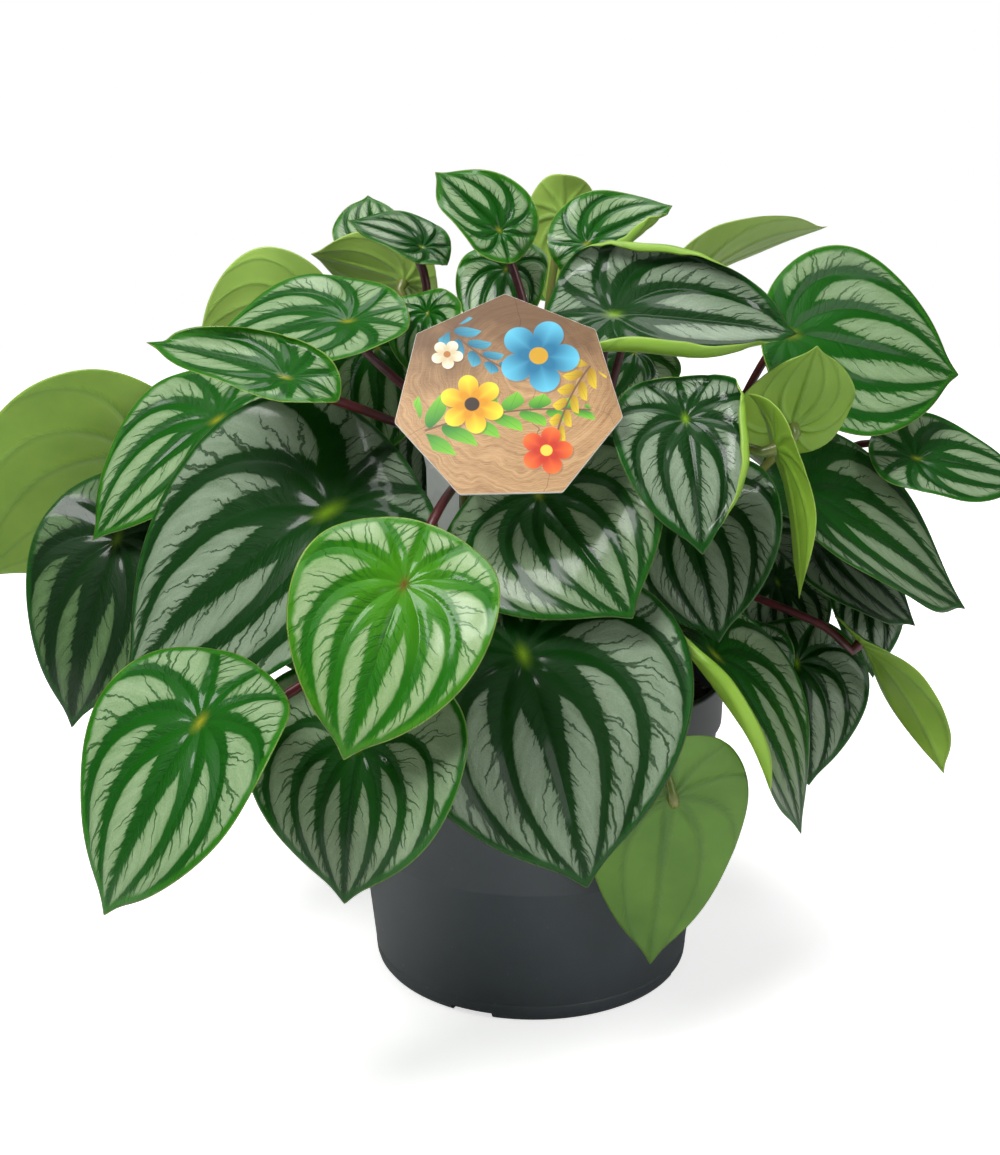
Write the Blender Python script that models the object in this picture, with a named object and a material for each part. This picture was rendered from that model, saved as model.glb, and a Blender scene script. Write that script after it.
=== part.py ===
"""Watermelon peperomia in its nursery pot, with a seven-sided picture label on a stake.

Sizes are in millimetres and become metres when a mesh is made. +Z is up, -Y is the front,
and the origin is the centre of the pot's base.
"""
import itertools
import math
from dataclasses import dataclass

import bmesh
import bpy
import numpy as np

MM = 0.001
GAP = 0.3                   # clearance between pieces that touch in the real plant
CREASE = math.radians(40)   # sharper edges than this stay sharp when a piece is shaded smooth

# Pot: a thin-walled cone with a collar round the mouth and a raised, drained floor.
POT_HEIGHT = 95.0
RIM_R = 60.0
COLLAR_Z = 80.0             # where the wall steps out into the collar
COLLAR_R = 59.3
SHOULDER_R = 58.2           # wall just under the collar
FOOT_R = 50.0
WALL = 1.3
FLOOR_LIFT = 2.6            # the floor stands this far off the ground around the centre pad
PAD_R = 14.0
FOOT_RING_R = 41.0          # inner edge of the ring that the pot stands on
POT_SEGMENTS = 48
DRAIN_COUNT = 6
DRAIN_R = 4.0
DRAIN_RING_R = 28.0
NOTCH_COUNT = 4
NOTCH_WIDTH = 13.0
NOTCH_HEIGHT = 2.2
NOTCH_DEPTH = 14.0
NOTCH_FIRST = -112.0        # compass direction of the first notch, degrees

# Soil: fills the pot to a little under its rim.
SOIL_TOP = 86.0
SOIL_BOTTOM = 4.6
SOIL_GAP = 0.6              # between the soil and the pot's wall
SOIL_SEGMENTS = 24
LUMP_COARSE = 0.7           # unevenness of the surface
LUMP_FINE = 0.5

# Crowns: the short stems that every stalk rises from.
CROWN_R = 6.5
CROWN_RISE = 36.0
CROWN_LEVELS = (6.0, 12.0, 18.0, 24.0, 30.0)    # heights at which stalks leave a crown
CROWN_DEPTH = 7.0
CROWN_RING_R = 20.0
CROWN_AZIMUTHS = {"crown_front": -90.0, "crown_right": 30.0, "crown_left": 150.0}

# Picture label: a regular heptagon on a flat stake that bends where it leaves the card.
CARD_SIDES = 7
CARD_R = 29.0
CARD_THICKNESS = 0.8
CARD_CENTRE = (-8.0, -72.0, 186.0)
CARD_LEAN = 32.0            # degrees that the card's top leans back
CARD_TURN = -1.5            # degrees that the card is turned in its own plane
STAKE_WIDTH = 9.0
STAKE_THICKNESS = 1.2
STAKE_SIDEWAYS = -19.0      # from the card's middle to the stake's, across the card
STAKE_HEAD = -8.0           # from the card's middle to the stake's upper end, down the card
STAKE_KNEE = 2.0            # from the card's middle to the bend, down the card
STAKE_ELBOW = (-26.0, -36.0, 163.0)     # where the stake turns down towards the soil
STAKE_TIP = (-25.0, -16.0, 52.0)
STAKE_POINT = 10.0          # length of the pointed end

# Blades and stalks.
SPOKES = 14
RINGS = (0.34, 0.68, 1.0)
LOBE = 0.30                 # share of the blade's length that lies behind the stalk
TAPER = 0.5                 # how much the outline narrows towards the tip
DRIP_TIP = 0.05             # extra length of the drawn-out tip
DRIP_WIDTH = 0.25
RIM_CURL = 5                # how closely a curl keeps to the edge
BLADE_MIDDLE = 1.1          # thickness at the stalk
BLADE_RIM = 0.6             # thickness at the edge
STALK_SIDES = SPOKES // 2
STALK_RINGS = 7
STALK_R = 1.3
STALK_BASE_R = 1.5

# The grid of small cells that keeps blades and stalks from growing through each other.
CELL = 1.5
SPACE_LOW = np.array([-240.0, -220.0, -20.0])
SPACE_HIGH = np.array([240.0, 240.0, 300.0])
SHARED = -1                 # marks a cell that belongs to several pieces
FIXED = 1000                # marks a cell of the pot, the soil or the label
SHIFT_STEP = np.array([0.8, 1.6, 0.8])     # leaves give way most easily forwards and backwards
MAX_SHIFTS = 30
OWN_REACH = 9.0             # near the stalk's end, its own blade is not in its way


@dataclass
class Leaf:
    """One leaf: where its stalk meets the blade, where it points and how it is bent."""
    name: str
    hub: tuple              # mm
    heading: float          # compass direction of the tip, degrees from +X towards +Y
    pitch: float            # the tip's rise above the horizontal, degrees
    roll: float             # turn about the midrib, degrees
    length: float           # mm
    width: float            # share of the length
    droop: float            # bend of the midrib from hub to tip, degrees
    sides: tuple = (12, 12)     # rise of the left and right halves, degrees
    rims: tuple = (0, 0)        # extra curl of the left and right edges, degrees
    back: float = 20.0      # bend of the part behind the stalk, degrees
    twist: float = 0.0      # turn of the tip against the hub, degrees
    lobe: float = LOBE      # share of the length behind the stalk
    tone: str = "leaf_mature"


# Leaves in the order they settle: the ones in front first, the hidden ones last.
LEAVES = [
    Leaf("leaf_front_left_big", (-54, -70, 157), 170, -40, -52, 101, 0.80, 30, sides=(20, 20),
         back=60, lobe=0.27),
    Leaf("leaf_front_young", (-32, -110, 147), -134, -63, -40, 57, 0.85, 30, sides=(25, 12),
         tone="leaf_young"),
    Leaf("leaf_low_middle", (-44, -104, 106), -115, -77, 0, 58, 1.05, 20, lobe=0.38),
    Leaf("leaf_front_low", (-4, -78, 121), -56, -62, 22, 82, 1.0, 35),
    Leaf("leaf_low_left", (-78, -122, 118), -158, -61, -30, 66, 0.82, 25, back=50),
    Leaf("leaf_under_card", (0, -58, 159), -48, -38, 45, 59, 1.12, 30, sides=(20, 0)),
    Leaf("leaf_front_rolled", (37, -72, 180), -78, -64, 10, 48, 0.82, 25, sides=(20, 10),
         rims=(150, 20)),
    Leaf("leaf_front_pale", (36, -68, 79), 120, -82, 25, 72, 0.62, 10, tone="leaf_young"),
    Leaf("leaf_front_right_tall", (50, -54, 113), -30, -60, 0, 74, 0.85, 30, sides=(10, 25),
         rims=(0, 60), back=60),
    Leaf("leaf_front_right_dark", (40, -38, 147), -60, -61, 25, 54, 0.98, 30, sides=(25, 10)),
    Leaf("leaf_long_boat", (21, -42, 205), -5, -6, 46, 66, 0.86, 10, sides=(15, 50),
         rims=(150, 20)),
    Leaf("leaf_upper_left", (-50, -54, 204), -168, -15, -28, 54, 0.80, 20, back=-10),
    Leaf("leaf_left_folded", (-62, -74, 192), 170, 12, -25, 48, 0.52, 5, sides=(10, 35)),
    Leaf("leaf_left", (-91, -34, 175), -161, -42, -30, 66, 0.75, 25),
    Leaf("leaf_left_dark", (-120, -34, 141), -151, -73, -40, 76, 0.64, 25),
    Leaf("leaf_top_cup", (-10, -28, 227), 165, 40, -60, 32, 0.8, 10, sides=(60, 20)),
    Leaf("leaf_right_big", (75, -6, 198), 15, -13, 65, 65, 0.92, 15, lobe=0.14, back=40),
    Leaf("leaf_right_narrow", (57, -62, 172), 0, -80, -5, 55, 0.50, 20, tone="leaf_young"),
    Leaf("leaf_right", (77, -20, 155), 11, -35, 35, 77, 0.80, 15, sides=(20, 20), lobe=0.16,
         back=40),
    Leaf("leaf_right_upright", (72, -14, 174), -81, 55, 0, 37, 0.95, 0, tone="leaf_young"),
    Leaf("leaf_right_twisted", (96, -28, 111), 10, -56, 0, 60, 0.46, 20, twist=-35, lobe=0.18,
         tone="leaf_young"),
    Leaf("leaf_top_right", (15, -6, 224), 12, 22, 45, 37, 0.8, 10, sides=(20, 50)),
    Leaf("leaf_top_left_dark", (-32, -12, 223), 178, 18, -35, 30, 0.7, 10, sides=(20, 20)),
    Leaf("leaf_top_upright", (9, 16, 232), 90, -80, 0, 44, 0.52, 10, tone="leaf_young"),
    Leaf("leaf_right_edge_on", (49, 22, 213), 13, 20, -14, 64, 0.80, 10, sides=(10, 40)),
    Leaf("leaf_behind_card", (-10, -14, 218), -110, -69, 0, 33, 0.85, 15),
    Leaf("leaf_back_pale", (-39, 16, 213), 176, 15, 45, 40, 0.80, 10, tone="leaf_young"),
    Leaf("leaf_back_left_pale", (-71, 14, 203), 174, -15, 60, 46, 1.0, 10, tone="leaf_young"),
    Leaf("leaf_top_left_small", (-50, 30, 223), 100, 50, 0, 28, 0.9, 10),
    Leaf("leaf_far_left", (-122, 12, 160), 180, -35, 50, 90, 0.90, 20, tone="leaf_young"),
    Leaf("leaf_far_right", (116, 4, 161), 8, -13, 40, 50, 0.70, 10),
    Leaf("leaf_inner_right", (30, -4, 207), 23, 8, 30, 38, 0.7, 10),
    Leaf("leaf_inner_left", (-44, -30, 196), -85, -72, 0, 44, 0.80, 20),
    Leaf("leaf_by_card", (-30, -34, 205), -110, -66, 0, 26, 0.85, 15),
    Leaf("leaf_shade_left", (-66, -22, 190), -154, -49, -20, 38, 0.8, 20),
    Leaf("leaf_lower_right", (84, -2, 135), 3, -40, 35, 60, 0.80, 20),
    Leaf("leaf_under_front_right", (57, -36, 101), -80, -70, 0, 30, 0.90, 20),
    Leaf("leaf_under_right", (73, -28, 99), -70, -75, 0, 50, 0.90, 20),
    Leaf("leaf_shade_low_right", (105, 10, 117), -70, -72, 0, 38, 0.70, 20),
    Leaf("leaf_shade_right", (78, 4, 120), -60, -70, 0, 42, 0.90, 20),
]

# Leaves on the far side stand in tiers: name, count, spread to either side of straight back,
# distance from the pot's axis, height, pitch and length.
REAR_TIERS = (
    ("leaf_rear_top", 2, 30, 44, 200, -5, 46),
    ("leaf_rear_middle", 5, 64, 68, 164, -36, 60),
    ("leaf_rear_low", 6, 74, 88, 114, -60, 62),
)
REAR_STAGGER = 7.0          # every second leaf stands this much further out and lower
REAR_WIDTH = 0.82
REAR_DROOP = 25.0
REAR_ROLL = 8.0


def rear_leaves():
    """The leaves on the far side, spread evenly and turned a little either way."""
    leaves = []
    for name, count, spread, reach, height, pitch, length in REAR_TIERS:
        for index in range(count):
            azimuth = 90 + spread * (2 * index / (count - 1) - 1)
            sign = 1 if index % 2 else -1
            out = reach + sign * REAR_STAGGER
            hub = (out * math.cos(math.radians(azimuth)), out * math.sin(math.radians(azimuth)),
                   height - sign * REAR_STAGGER)
            leaves.append(Leaf(f"{name}_{index + 1}", hub, azimuth + sign * REAR_ROLL, pitch,
                               sign * REAR_ROLL, length, REAR_WIDTH, REAR_DROOP))
    return leaves


# ------------------------------------------------------------------ blade geometry

def outline(leaf, turn):
    """Edge of the flat blade, as (along, across), for a turn round it from the tip."""
    turn = np.asarray(turn, float)
    from_tip = np.arctan2(np.sin(turn), np.cos(turn))
    drip = DRIP_TIP * np.exp(-(from_tip / DRIP_WIDTH) ** 2)
    along = leaf.length * (0.5 - leaf.lobe + 0.5 * np.cos(turn) + drip)
    crest = math.asin(math.sqrt((1 + TAPER) / (2 + TAPER)))
    widest = 2 * math.sin(crest) ** (1 + TAPER) * math.cos(crest)
    across = np.sin(turn) * np.abs(np.sin(turn / 2)) ** TAPER / widest
    return along, leaf.width * leaf.length / 2 * across


def bend(leaf, along, across):
    """Place flat blade points in the blade's own frame: x to the tip, y left, z up."""
    half_width = leaf.width * leaf.length / 2
    front = leaf.length * (1 - leaf.lobe)
    left = across >= 0
    side = np.radians(np.where(left, leaf.sides[0], leaf.sides[1]))
    rim = np.radians(np.where(left, leaf.rims[0], leaf.rims[1]))
    steps = (np.arange(12) + 0.5) / 12
    reach = np.abs(across)[..., None] / half_width * steps
    rise = side[..., None] * reach + rim[..., None] * reach ** RIM_CURL
    y = across * np.cos(rise).mean(-1)
    z = np.abs(across) * np.sin(rise).mean(-1)

    twist = np.radians(leaf.twist) * along / front
    y, z = y * np.cos(twist) - z * np.sin(twist), y * np.sin(twist) + z * np.cos(twist)

    droop = math.radians(leaf.droop) / front
    back = math.radians(leaf.back) / (leaf.length * leaf.lobe)
    curvature = np.where(along >= 0, droop, back)
    curvature = np.where(np.abs(curvature) < 1e-6, 1e-6, curvature)
    angle = along * curvature
    x = np.sin(angle) / curvature + z * np.sin(angle)
    z = z * np.cos(angle) - (1 - np.cos(angle)) / curvature
    return np.stack([x, y, z], -1)


def blade_axes(leaf):
    """The blade's tip, left and up directions in the plant's frame."""
    heading, pitch = math.radians(leaf.heading), math.radians(leaf.pitch)
    chord = np.array([math.cos(pitch) * math.cos(heading),
                      math.cos(pitch) * math.sin(heading), math.sin(pitch)])
    level_up = np.array([0.0, 0.0, 1.0]) - chord[2] * chord
    level_up /= np.linalg.norm(level_up)
    roll = math.radians(leaf.roll)
    normal = level_up * math.cos(roll) + np.cross(chord, level_up) * math.sin(roll)
    half = math.radians(leaf.droop) / 2
    tip_way = chord * math.cos(half) + normal * math.sin(half)
    up_way = normal * math.cos(half) - chord * math.sin(half)
    return np.array([tip_way, np.cross(up_way, tip_way), up_way])


def blade_points(leaf, share, turn):
    """Middle surface of the blade at a share of the way from the hub to the edge."""
    along, across = outline(leaf, turn)
    local = bend(leaf, along * share, across * share)
    return local @ blade_axes(leaf) + np.array(leaf.hub, float)


def blade_normals(leaf, share, turn):
    """Upward normals of the middle surface, by small differences."""
    step = 0.2
    along, across = outline(leaf, turn)
    along, across = along * share, across * share
    run = bend(leaf, along + step, across) - bend(leaf, along - step, across)
    span = bend(leaf, along, across + step) - bend(leaf, along, across - step)
    normal = np.cross(run, span)
    normal /= np.linalg.norm(normal, axis=-1, keepdims=True)
    return normal @ blade_axes(leaf)


# ------------------------------------------------------------------ room and routes

class Space:
    """Room that is already taken, kept as a grid of small cells with their owners' numbers."""

    def __init__(self):
        shape = ((SPACE_HIGH - SPACE_LOW) / CELL).astype(int)
        self.owner = np.zeros(shape, np.int16)

    def cells(self, points):
        """Grid places of some points."""
        return ((points - SPACE_LOW) / CELL).astype(int)

    def take(self, points, number):
        """Give the cells of the points, and the ones next to them, to a numbered piece."""
        cells = self.cells(points)
        for offset in itertools.product((-1, 0, 1), repeat=3):
            place = tuple((cells + offset).T)
            before = self.owner[place]
            self.owner[place] = np.where((before == 0) | (before == number), number, SHARED)

    def is_free(self, points, number=0):
        """True where the points lie in empty cells, or in cells of the numbered piece."""
        owners = self.owner[tuple(self.cells(points).T)]
        return bool(np.all((owners == 0) | (owners == number)))


def blade_samples(leaf):
    """A close net of points over the blade."""
    share, turn = np.meshgrid(np.linspace(0, 1, 34), np.linspace(0, 2 * math.pi, 150))
    return blade_points(leaf, share.ravel(), turn.ravel())


def pot_samples():
    """Points over the pot's wall and the soil's surface."""
    turn, height = np.meshgrid(np.linspace(0, 2 * math.pi, 300), np.arange(0, POT_HEIGHT, CELL))
    radius = FOOT_R + (RIM_R - FOOT_R) * height / POT_HEIGHT
    wall = np.stack([radius * np.cos(turn), radius * np.sin(turn), height], -1)
    turn, radius = np.meshgrid(np.linspace(0, 2 * math.pi, 300), np.arange(0, RIM_R, CELL))
    soil = np.stack([radius * np.cos(turn), radius * np.sin(turn), radius * 0 + SOIL_TOP], -1)
    return np.concatenate([wall.reshape(-1, 3), soil.reshape(-1, 3)])


def label_samples():
    """Points over the card and down the stake."""
    across, down = label_axes()
    radius, turn = np.meshgrid(np.arange(0, CARD_R + CELL, CELL), np.linspace(0, 2 * math.pi, 130))
    card = np.array(CARD_CENTRE) + (radius * np.cos(turn))[..., None] * across \
        + (radius * np.sin(turn))[..., None] * down
    _, knee, elbow, _, tip = stake_line()
    share, side = np.meshgrid(np.linspace(0, 1, 100), np.linspace(-0.5, 0.5, 7))
    side = (side * STAKE_WIDTH)[..., None] * across
    stake = [start + share[..., None] * (end - start) + side
             for start, end in ((knee, elbow), (elbow, tip))]
    return np.concatenate([piece.reshape(-1, 3) for piece in (card, *stake)])


def settle(leaf, space, number):
    """Shift a leaf by the smallest step that brings its blade clear of the others."""
    start = np.array(leaf.hub, float)
    samples = blade_samples(leaf)
    ways = [np.array(way, float) for way in itertools.product((0, 1, -1), repeat=3) if any(way)]
    for distance in range(MAX_SHIFTS):
        for way in ways:
            shift = way / np.linalg.norm(way) * distance * SHIFT_STEP
            if space.is_free(samples + shift):
                space.take(samples + shift, number)
                leaf.hub = tuple(start + shift)
                return float(np.linalg.norm(shift))
    raise RuntimeError(f"{leaf.name} finds no room")


def curve_points(controls, count):
    """Points along cubic curves led by four control points each."""
    t = np.linspace(0, 1, count)[:, None]
    a, b, c, d = np.moveaxis(np.asarray(controls)[..., None, :], -3, 0)
    return (1 - t) ** 3 * a + 3 * (1 - t) ** 2 * t * b + 3 * (1 - t) * t ** 2 * c + t ** 3 * d


def tube_samples(path):
    """Points on the skin of a stalk that follows a path."""
    along = np.gradient(path, axis=0)
    along /= np.linalg.norm(along, axis=1, keepdims=True)
    first = np.cross(along, np.array([0.31, 0.42, 0.85]))
    first /= np.linalg.norm(first, axis=1, keepdims=True)
    second = np.cross(along, first)
    turns = 2 * math.pi * np.arange(STALK_SIDES) / STALK_SIDES
    return np.concatenate([path + STALK_BASE_R * (first * math.cos(turn) + second * math.sin(turn))
                           for turn in turns])


def crown_centre(name):
    """A crown's axis, on the soil's surface."""
    turn = math.radians(CROWN_AZIMUTHS[name])
    return np.array([CROWN_RING_R * math.cos(turn), CROWN_RING_R * math.sin(turn), SOIL_TOP])


def clear_of_crowns(path):
    """True where a stalk that follows a path keeps off every crown's side and top."""
    low = path[path[:, 2] < SOIL_TOP + CROWN_RISE + STALK_BASE_R + GAP]
    return all(np.linalg.norm((low - crown_centre(name))[:, :2], axis=1).min(initial=math.inf)
               > CROWN_R + STALK_BASE_R + GAP / 2 for name in CROWN_AZIMUTHS)


def stalk_bases(hub):
    """Places and rising directions where a stalk may leave a crown, nearest crown first."""
    crowns = sorted(CROWN_AZIMUTHS, key=lambda name: np.linalg.norm(hub - crown_centre(name)))
    swings = (0, 20, -20, 40, -40, 65, -65, 90, -90, 125, -125, 160, -160)
    for crown, swing, level, climb in itertools.product(crowns, swings, CROWN_LEVELS, (60, 40, 80)):
        foot = crown_centre(crown)
        turn = math.atan2(hub[1] - foot[1], hub[0] - foot[0]) + math.radians(swing)
        out = np.array([math.cos(turn), math.sin(turn), 0.0])
        base = foot + out * (CROWN_R + STALK_BASE_R + GAP) + np.array([0.0, 0.0, level])
        climb = math.radians(climb)
        yield base, out * math.cos(climb) + np.array([0.0, 0.0, math.sin(climb)])


def stalk_arrivals(leaf):
    """Offsets from the hub through which a stalk may reach the blade's underside."""
    tip_way, left_way, up_way = blade_axes(leaf)
    for slant, swing, reach in itertools.product((30, 5, 55, 75), (0, 60, -60), (14, 24, 38, 8)):
        slant, swing = math.radians(slant), math.radians(swing)
        aside = -tip_way * math.cos(swing) + left_way * math.sin(swing)
        yield reach * (aside * math.sin(slant) - up_way * math.cos(slant))


def stalk_choices(leaf):
    """Control points of the stalks that a leaf may have, in blocks, the most natural ones first."""
    hub = np.array(leaf.hub, float)
    top = hub - blade_axes(leaf)[2] * BLADE_MIDDLE / 2
    bases = list(stalk_bases(hub))
    for leave, offset in itertools.product((0.35, 0.2, 0.5), stalk_arrivals(leaf)):
        yield np.array([(base, base + rise * leave * np.linalg.norm(hub - base), hub + offset, top)
                        for base, rise in bases])


def stalk_route(leaf, space, number):
    """Control points of the first free way from a crown up to the blade's underside."""
    blade = blade_samples(leaf)[::9]
    for choices in stalk_choices(leaf):
        owners = space.owner[tuple(np.moveaxis(space.cells(curve_points(choices, 45)), -1, 0))]
        clear = np.all((owners == 0) | (owners == number), axis=1)
        for controls in choices[clear]:
            path = curve_points(controls, 110)
            if not (clear_of_crowns(path) and space.is_free(tube_samples(path), number)):
                continue
            far = path[np.linalg.norm(path - controls[3], axis=1) > OWN_REACH]
            if np.linalg.norm(far[:, None] - blade, axis=2).min() > STALK_R + BLADE_MIDDLE:
                space.take(path, number)
                return controls
    return None


# ------------------------------------------------------------------ mesh helpers

def material(name, colour, roughness, metallic=0.0):
    """A plain Principled material, made once for each name."""
    made = bpy.data.materials.get(name)
    if made:
        return made
    made = bpy.data.materials.new(name)
    made.use_nodes = True
    shader = made.node_tree.nodes["Principled BSDF"]
    shader.inputs["Base Color"].default_value = (*colour, 1.0)
    shader.inputs["Roughness"].default_value = roughness
    shader.inputs["Metallic"].default_value = metallic
    return made


def link_solid(name, work, finish, smooth=True):
    """Turn a bmesh's faces outwards and link it as a named object."""
    bmesh.ops.recalc_face_normals(work, faces=work.faces)
    mesh = bpy.data.meshes.new(name)
    work.to_mesh(mesh)
    work.free()
    if smooth:
        mesh.shade_smooth()
        mesh.set_sharp_from_angle(angle=CREASE)
    made = bpy.data.objects.new(name, mesh)
    if finish:
        made.data.materials.append(finish)
    bpy.context.collection.objects.link(made)
    return made


def mesh_object(name, points, faces, finish, smooth=True):
    """A closed solid from points in millimetres."""
    work = bmesh.new()
    verts = [work.verts.new([float(c) * MM for c in point]) for point in points]
    for face in faces:
        work.faces.new([verts[index] for index in face])
    return link_solid(name, work, finish, smooth)


def turned(name, profile, segments, finish):
    """A solid turned round Z from an (r, z) profile that starts and ends on the axis."""
    work = bmesh.new()
    verts = [work.verts.new((r * MM, 0.0, z * MM)) for r, z in profile]
    edges = [work.edges.new(pair) for pair in zip(verts, verts[1:])]
    bmesh.ops.spin(work, geom=verts + edges, cent=(0, 0, 0), axis=(0, 0, 1),
                   angle=2 * math.pi, steps=segments, use_duplicate=False)
    bmesh.ops.remove_doubles(work, verts=work.verts, dist=1e-6)
    return link_solid(name, work, finish)


def cut(target, cutter):
    """Subtract a hidden cutter from a solid."""
    cutter.hide_render = True
    cutter.display_type = 'WIRE'
    boolean = target.modifiers.new("cut_" + cutter.name, 'BOOLEAN')
    boolean.operation = 'DIFFERENCE'
    boolean.solver = 'EXACT'
    boolean.object = cutter


def cylinders_and_boxes(name, cylinders, boxes):
    """One cutter made of upright cylinders and turned boxes, in millimetres."""
    work = bmesh.new()
    for x, y, low, high, radius in cylinders:
        made = bmesh.ops.create_cone(work, cap_ends=True, segments=16, radius1=radius * MM,
                                     radius2=radius * MM, depth=(high - low) * MM)
        middle = (x * MM, y * MM, (low + high) / 2 * MM)
        bmesh.ops.translate(work, verts=made["verts"], vec=middle)
    for corners in boxes:
        verts = [work.verts.new([float(c) * MM for c in corner]) for corner in corners]
        for face in box_faces():
            work.faces.new([verts[i] for i in face])
    return link_solid(name, work, None, smooth=False)


def box_faces():
    """Faces of a box whose corners run round its low end, then round its high end."""
    return [(0, 1, 2, 3), (4, 5, 6, 7), (0, 1, 5, 4), (1, 2, 6, 5), (2, 3, 7, 6), (3, 0, 4, 7)]


def box_corners(low_centre, high_centre, half_x, half_y):
    """Corners of a bar between two centres, with its half sizes as vectors."""
    corners = []
    for centre in (low_centre, high_centre):
        for sx, sy in ((-1, -1), (1, -1), (1, 1), (-1, 1)):
            corners.append(np.asarray(centre) + sx * np.asarray(half_x) + sy * np.asarray(half_y))
    return corners


# ------------------------------------------------------------------ the pieces

def make_pot():
    """The pot: foot ring, centre pad, sloping wall, stepped collar, drains and notches."""
    inner_shoulder = SHOULDER_R - WALL
    profile = [
        (0, 0), (PAD_R, 0), (PAD_R + 2, FLOOR_LIFT), (FOOT_RING_R - 2, FLOOR_LIFT),
        (FOOT_RING_R, 0), (FOOT_R - 2.4, 0), (FOOT_R - 0.7, 0.7), (FOOT_R, 2.4),
        (FOOT_R + 0.3, 5.0), (FOOT_R + 0.1, 5.6), (SHOULDER_R, COLLAR_Z - 0.6),
        (COLLAR_R, COLLAR_Z), (RIM_R, POT_HEIGHT - 0.8), (RIM_R - 0.3, POT_HEIGHT),
        (RIM_R - 1.5, POT_HEIGHT), (COLLAR_R - WALL, COLLAR_Z + 1.2), (inner_shoulder, COLLAR_Z),
        (FOOT_R - WALL, 6.0), (FOOT_R - 3.0, FLOOR_LIFT + WALL),
        (PAD_R + 2.5, FLOOR_LIFT + WALL), (PAD_R + 0.5, WALL + 0.2), (0, WALL + 0.2),
    ]
    finish = material("pot_plastic", (0.036, 0.044, 0.050), 0.45)
    pot = turned("pot", profile, POT_SEGMENTS, finish)
    drains = []
    for index in range(DRAIN_COUNT):
        turn = 2 * math.pi * index / DRAIN_COUNT
        drains.append((DRAIN_RING_R * math.cos(turn), DRAIN_RING_R * math.sin(turn),
                       -FLOOR_LIFT, 3 * FLOOR_LIFT, DRAIN_R))
    notches = []
    for index in range(NOTCH_COUNT):
        turn = math.radians(NOTCH_FIRST + 360.0 * index / NOTCH_COUNT)
        out = np.array([math.cos(turn), math.sin(turn), 0.0])
        side = np.array([-out[1], out[0], 0.0]) * NOTCH_WIDTH / 2
        middle = out * (FOOT_R - 1.0)
        low, high = middle - [0, 0, NOTCH_HEIGHT], middle + [0, 0, NOTCH_HEIGHT]
        notches.append(box_corners(low, high, side, out * NOTCH_DEPTH / 2))
    cut(pot, cylinders_and_boxes("drain_cutter", drains, notches))
    return pot


def soil_levels():
    """Radius and height of the soil's rings, from its underside to its middle."""
    low_r = FOOT_R - WALL - SOIL_GAP - 2.5
    top_r = SHOULDER_R - WALL - SOIL_GAP
    return [(low_r, SOIL_BOTTOM), (low_r + 2.3, SOIL_BOTTOM + 3.5), (top_r - 0.6, COLLAR_Z - 2.0),
            (top_r - 0.2, SOIL_TOP - 1.5), (44, SOIL_TOP), (30, SOIL_TOP + 0.6),
            (14, SOIL_TOP + 1.0)]


def soil_cutter():
    """Sockets for the crowns and the slot for the label's stake."""
    sockets = []
    for name in CROWN_AZIMUTHS:
        x, y, z = crown_centre(name)
        sockets.append((x, y, z - CROWN_DEPTH - GAP, z + CROWN_RISE, CROWN_R + GAP + 0.2))
    across, _ = label_axes()
    _, _, elbow, _, tip = stake_line()
    lengthwise = (elbow - tip) / np.linalg.norm(elbow - tip)
    thick = np.cross(lengthwise, across) * (STAKE_THICKNESS / 2 + GAP)
    slot = box_corners(tip - lengthwise, tip + lengthwise * (SOIL_TOP - SOIL_BOTTOM),
                       across * (STAKE_WIDTH / 2 + GAP), thick)
    return cylinders_and_boxes("soil_cutter", sockets, [slot])


def make_soil():
    """The soil: a plug that fills the pot, slightly mounded and uneven on top."""
    levels = soil_levels()
    points = [(0, 0, SOIL_BOTTOM)]
    for row, (radius, height) in enumerate(levels):
        for index in range(SOIL_SEGMENTS):
            turn = 2 * math.pi * index / SOIL_SEGMENTS
            lump = 0.0
            if row > 2:
                lump = LUMP_COARSE * math.sin(5 * turn + row) \
                    + LUMP_FINE * math.sin(9 * turn - 2 * row)
            points.append((radius * math.cos(turn), radius * math.sin(turn), height + lump))
    points.append((0, 0, SOIL_TOP + 1.2))
    top = len(points) - 1
    faces = []
    for index in range(SOIL_SEGMENTS):
        follow = (index + 1) % SOIL_SEGMENTS
        faces.append((0, 1 + follow, 1 + index))
        for row in range(len(levels) - 1):
            a, b = 1 + row * SOIL_SEGMENTS, 1 + (row + 1) * SOIL_SEGMENTS
            faces.append((a + index, a + follow, b + follow, b + index))
        last = 1 + (len(levels) - 1) * SOIL_SEGMENTS
        faces.append((last + index, last + follow, top))
    finish = material("potting_soil", (0.020, 0.010, 0.006), 0.95)
    soil = mesh_object("soil", points, faces, finish)
    cut(soil, soil_cutter())
    return soil


def make_crowns():
    """The crowns: short, blunt stems set in the soil."""
    finish = material("crown_stem", (0.10, 0.06, 0.03), 0.6)
    for name in CROWN_AZIMUTHS:
        foot = crown_centre(name)
        profile = [(0, -CROWN_DEPTH), (CROWN_R - 1.5, -CROWN_DEPTH), (CROWN_R, -CROWN_DEPTH + 3),
                   (CROWN_R, CROWN_RISE * 0.55), (CROWN_R - 1.8, CROWN_RISE * 0.85), (0, CROWN_RISE)]
        crown = turned(name, profile, 12, finish)
        crown.location = tuple(foot * MM)


def label_axes():
    """Directions across and down the face of the card."""
    lean, turn = math.radians(CARD_LEAN), math.radians(CARD_TURN)
    right = np.array([1.0, 0.0, 0.0])
    down = np.array([0.0, -math.sin(lean), -math.cos(lean)])
    return (right * math.cos(turn) + down * math.sin(turn),
            down * math.cos(turn) - right * math.sin(turn))


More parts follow.
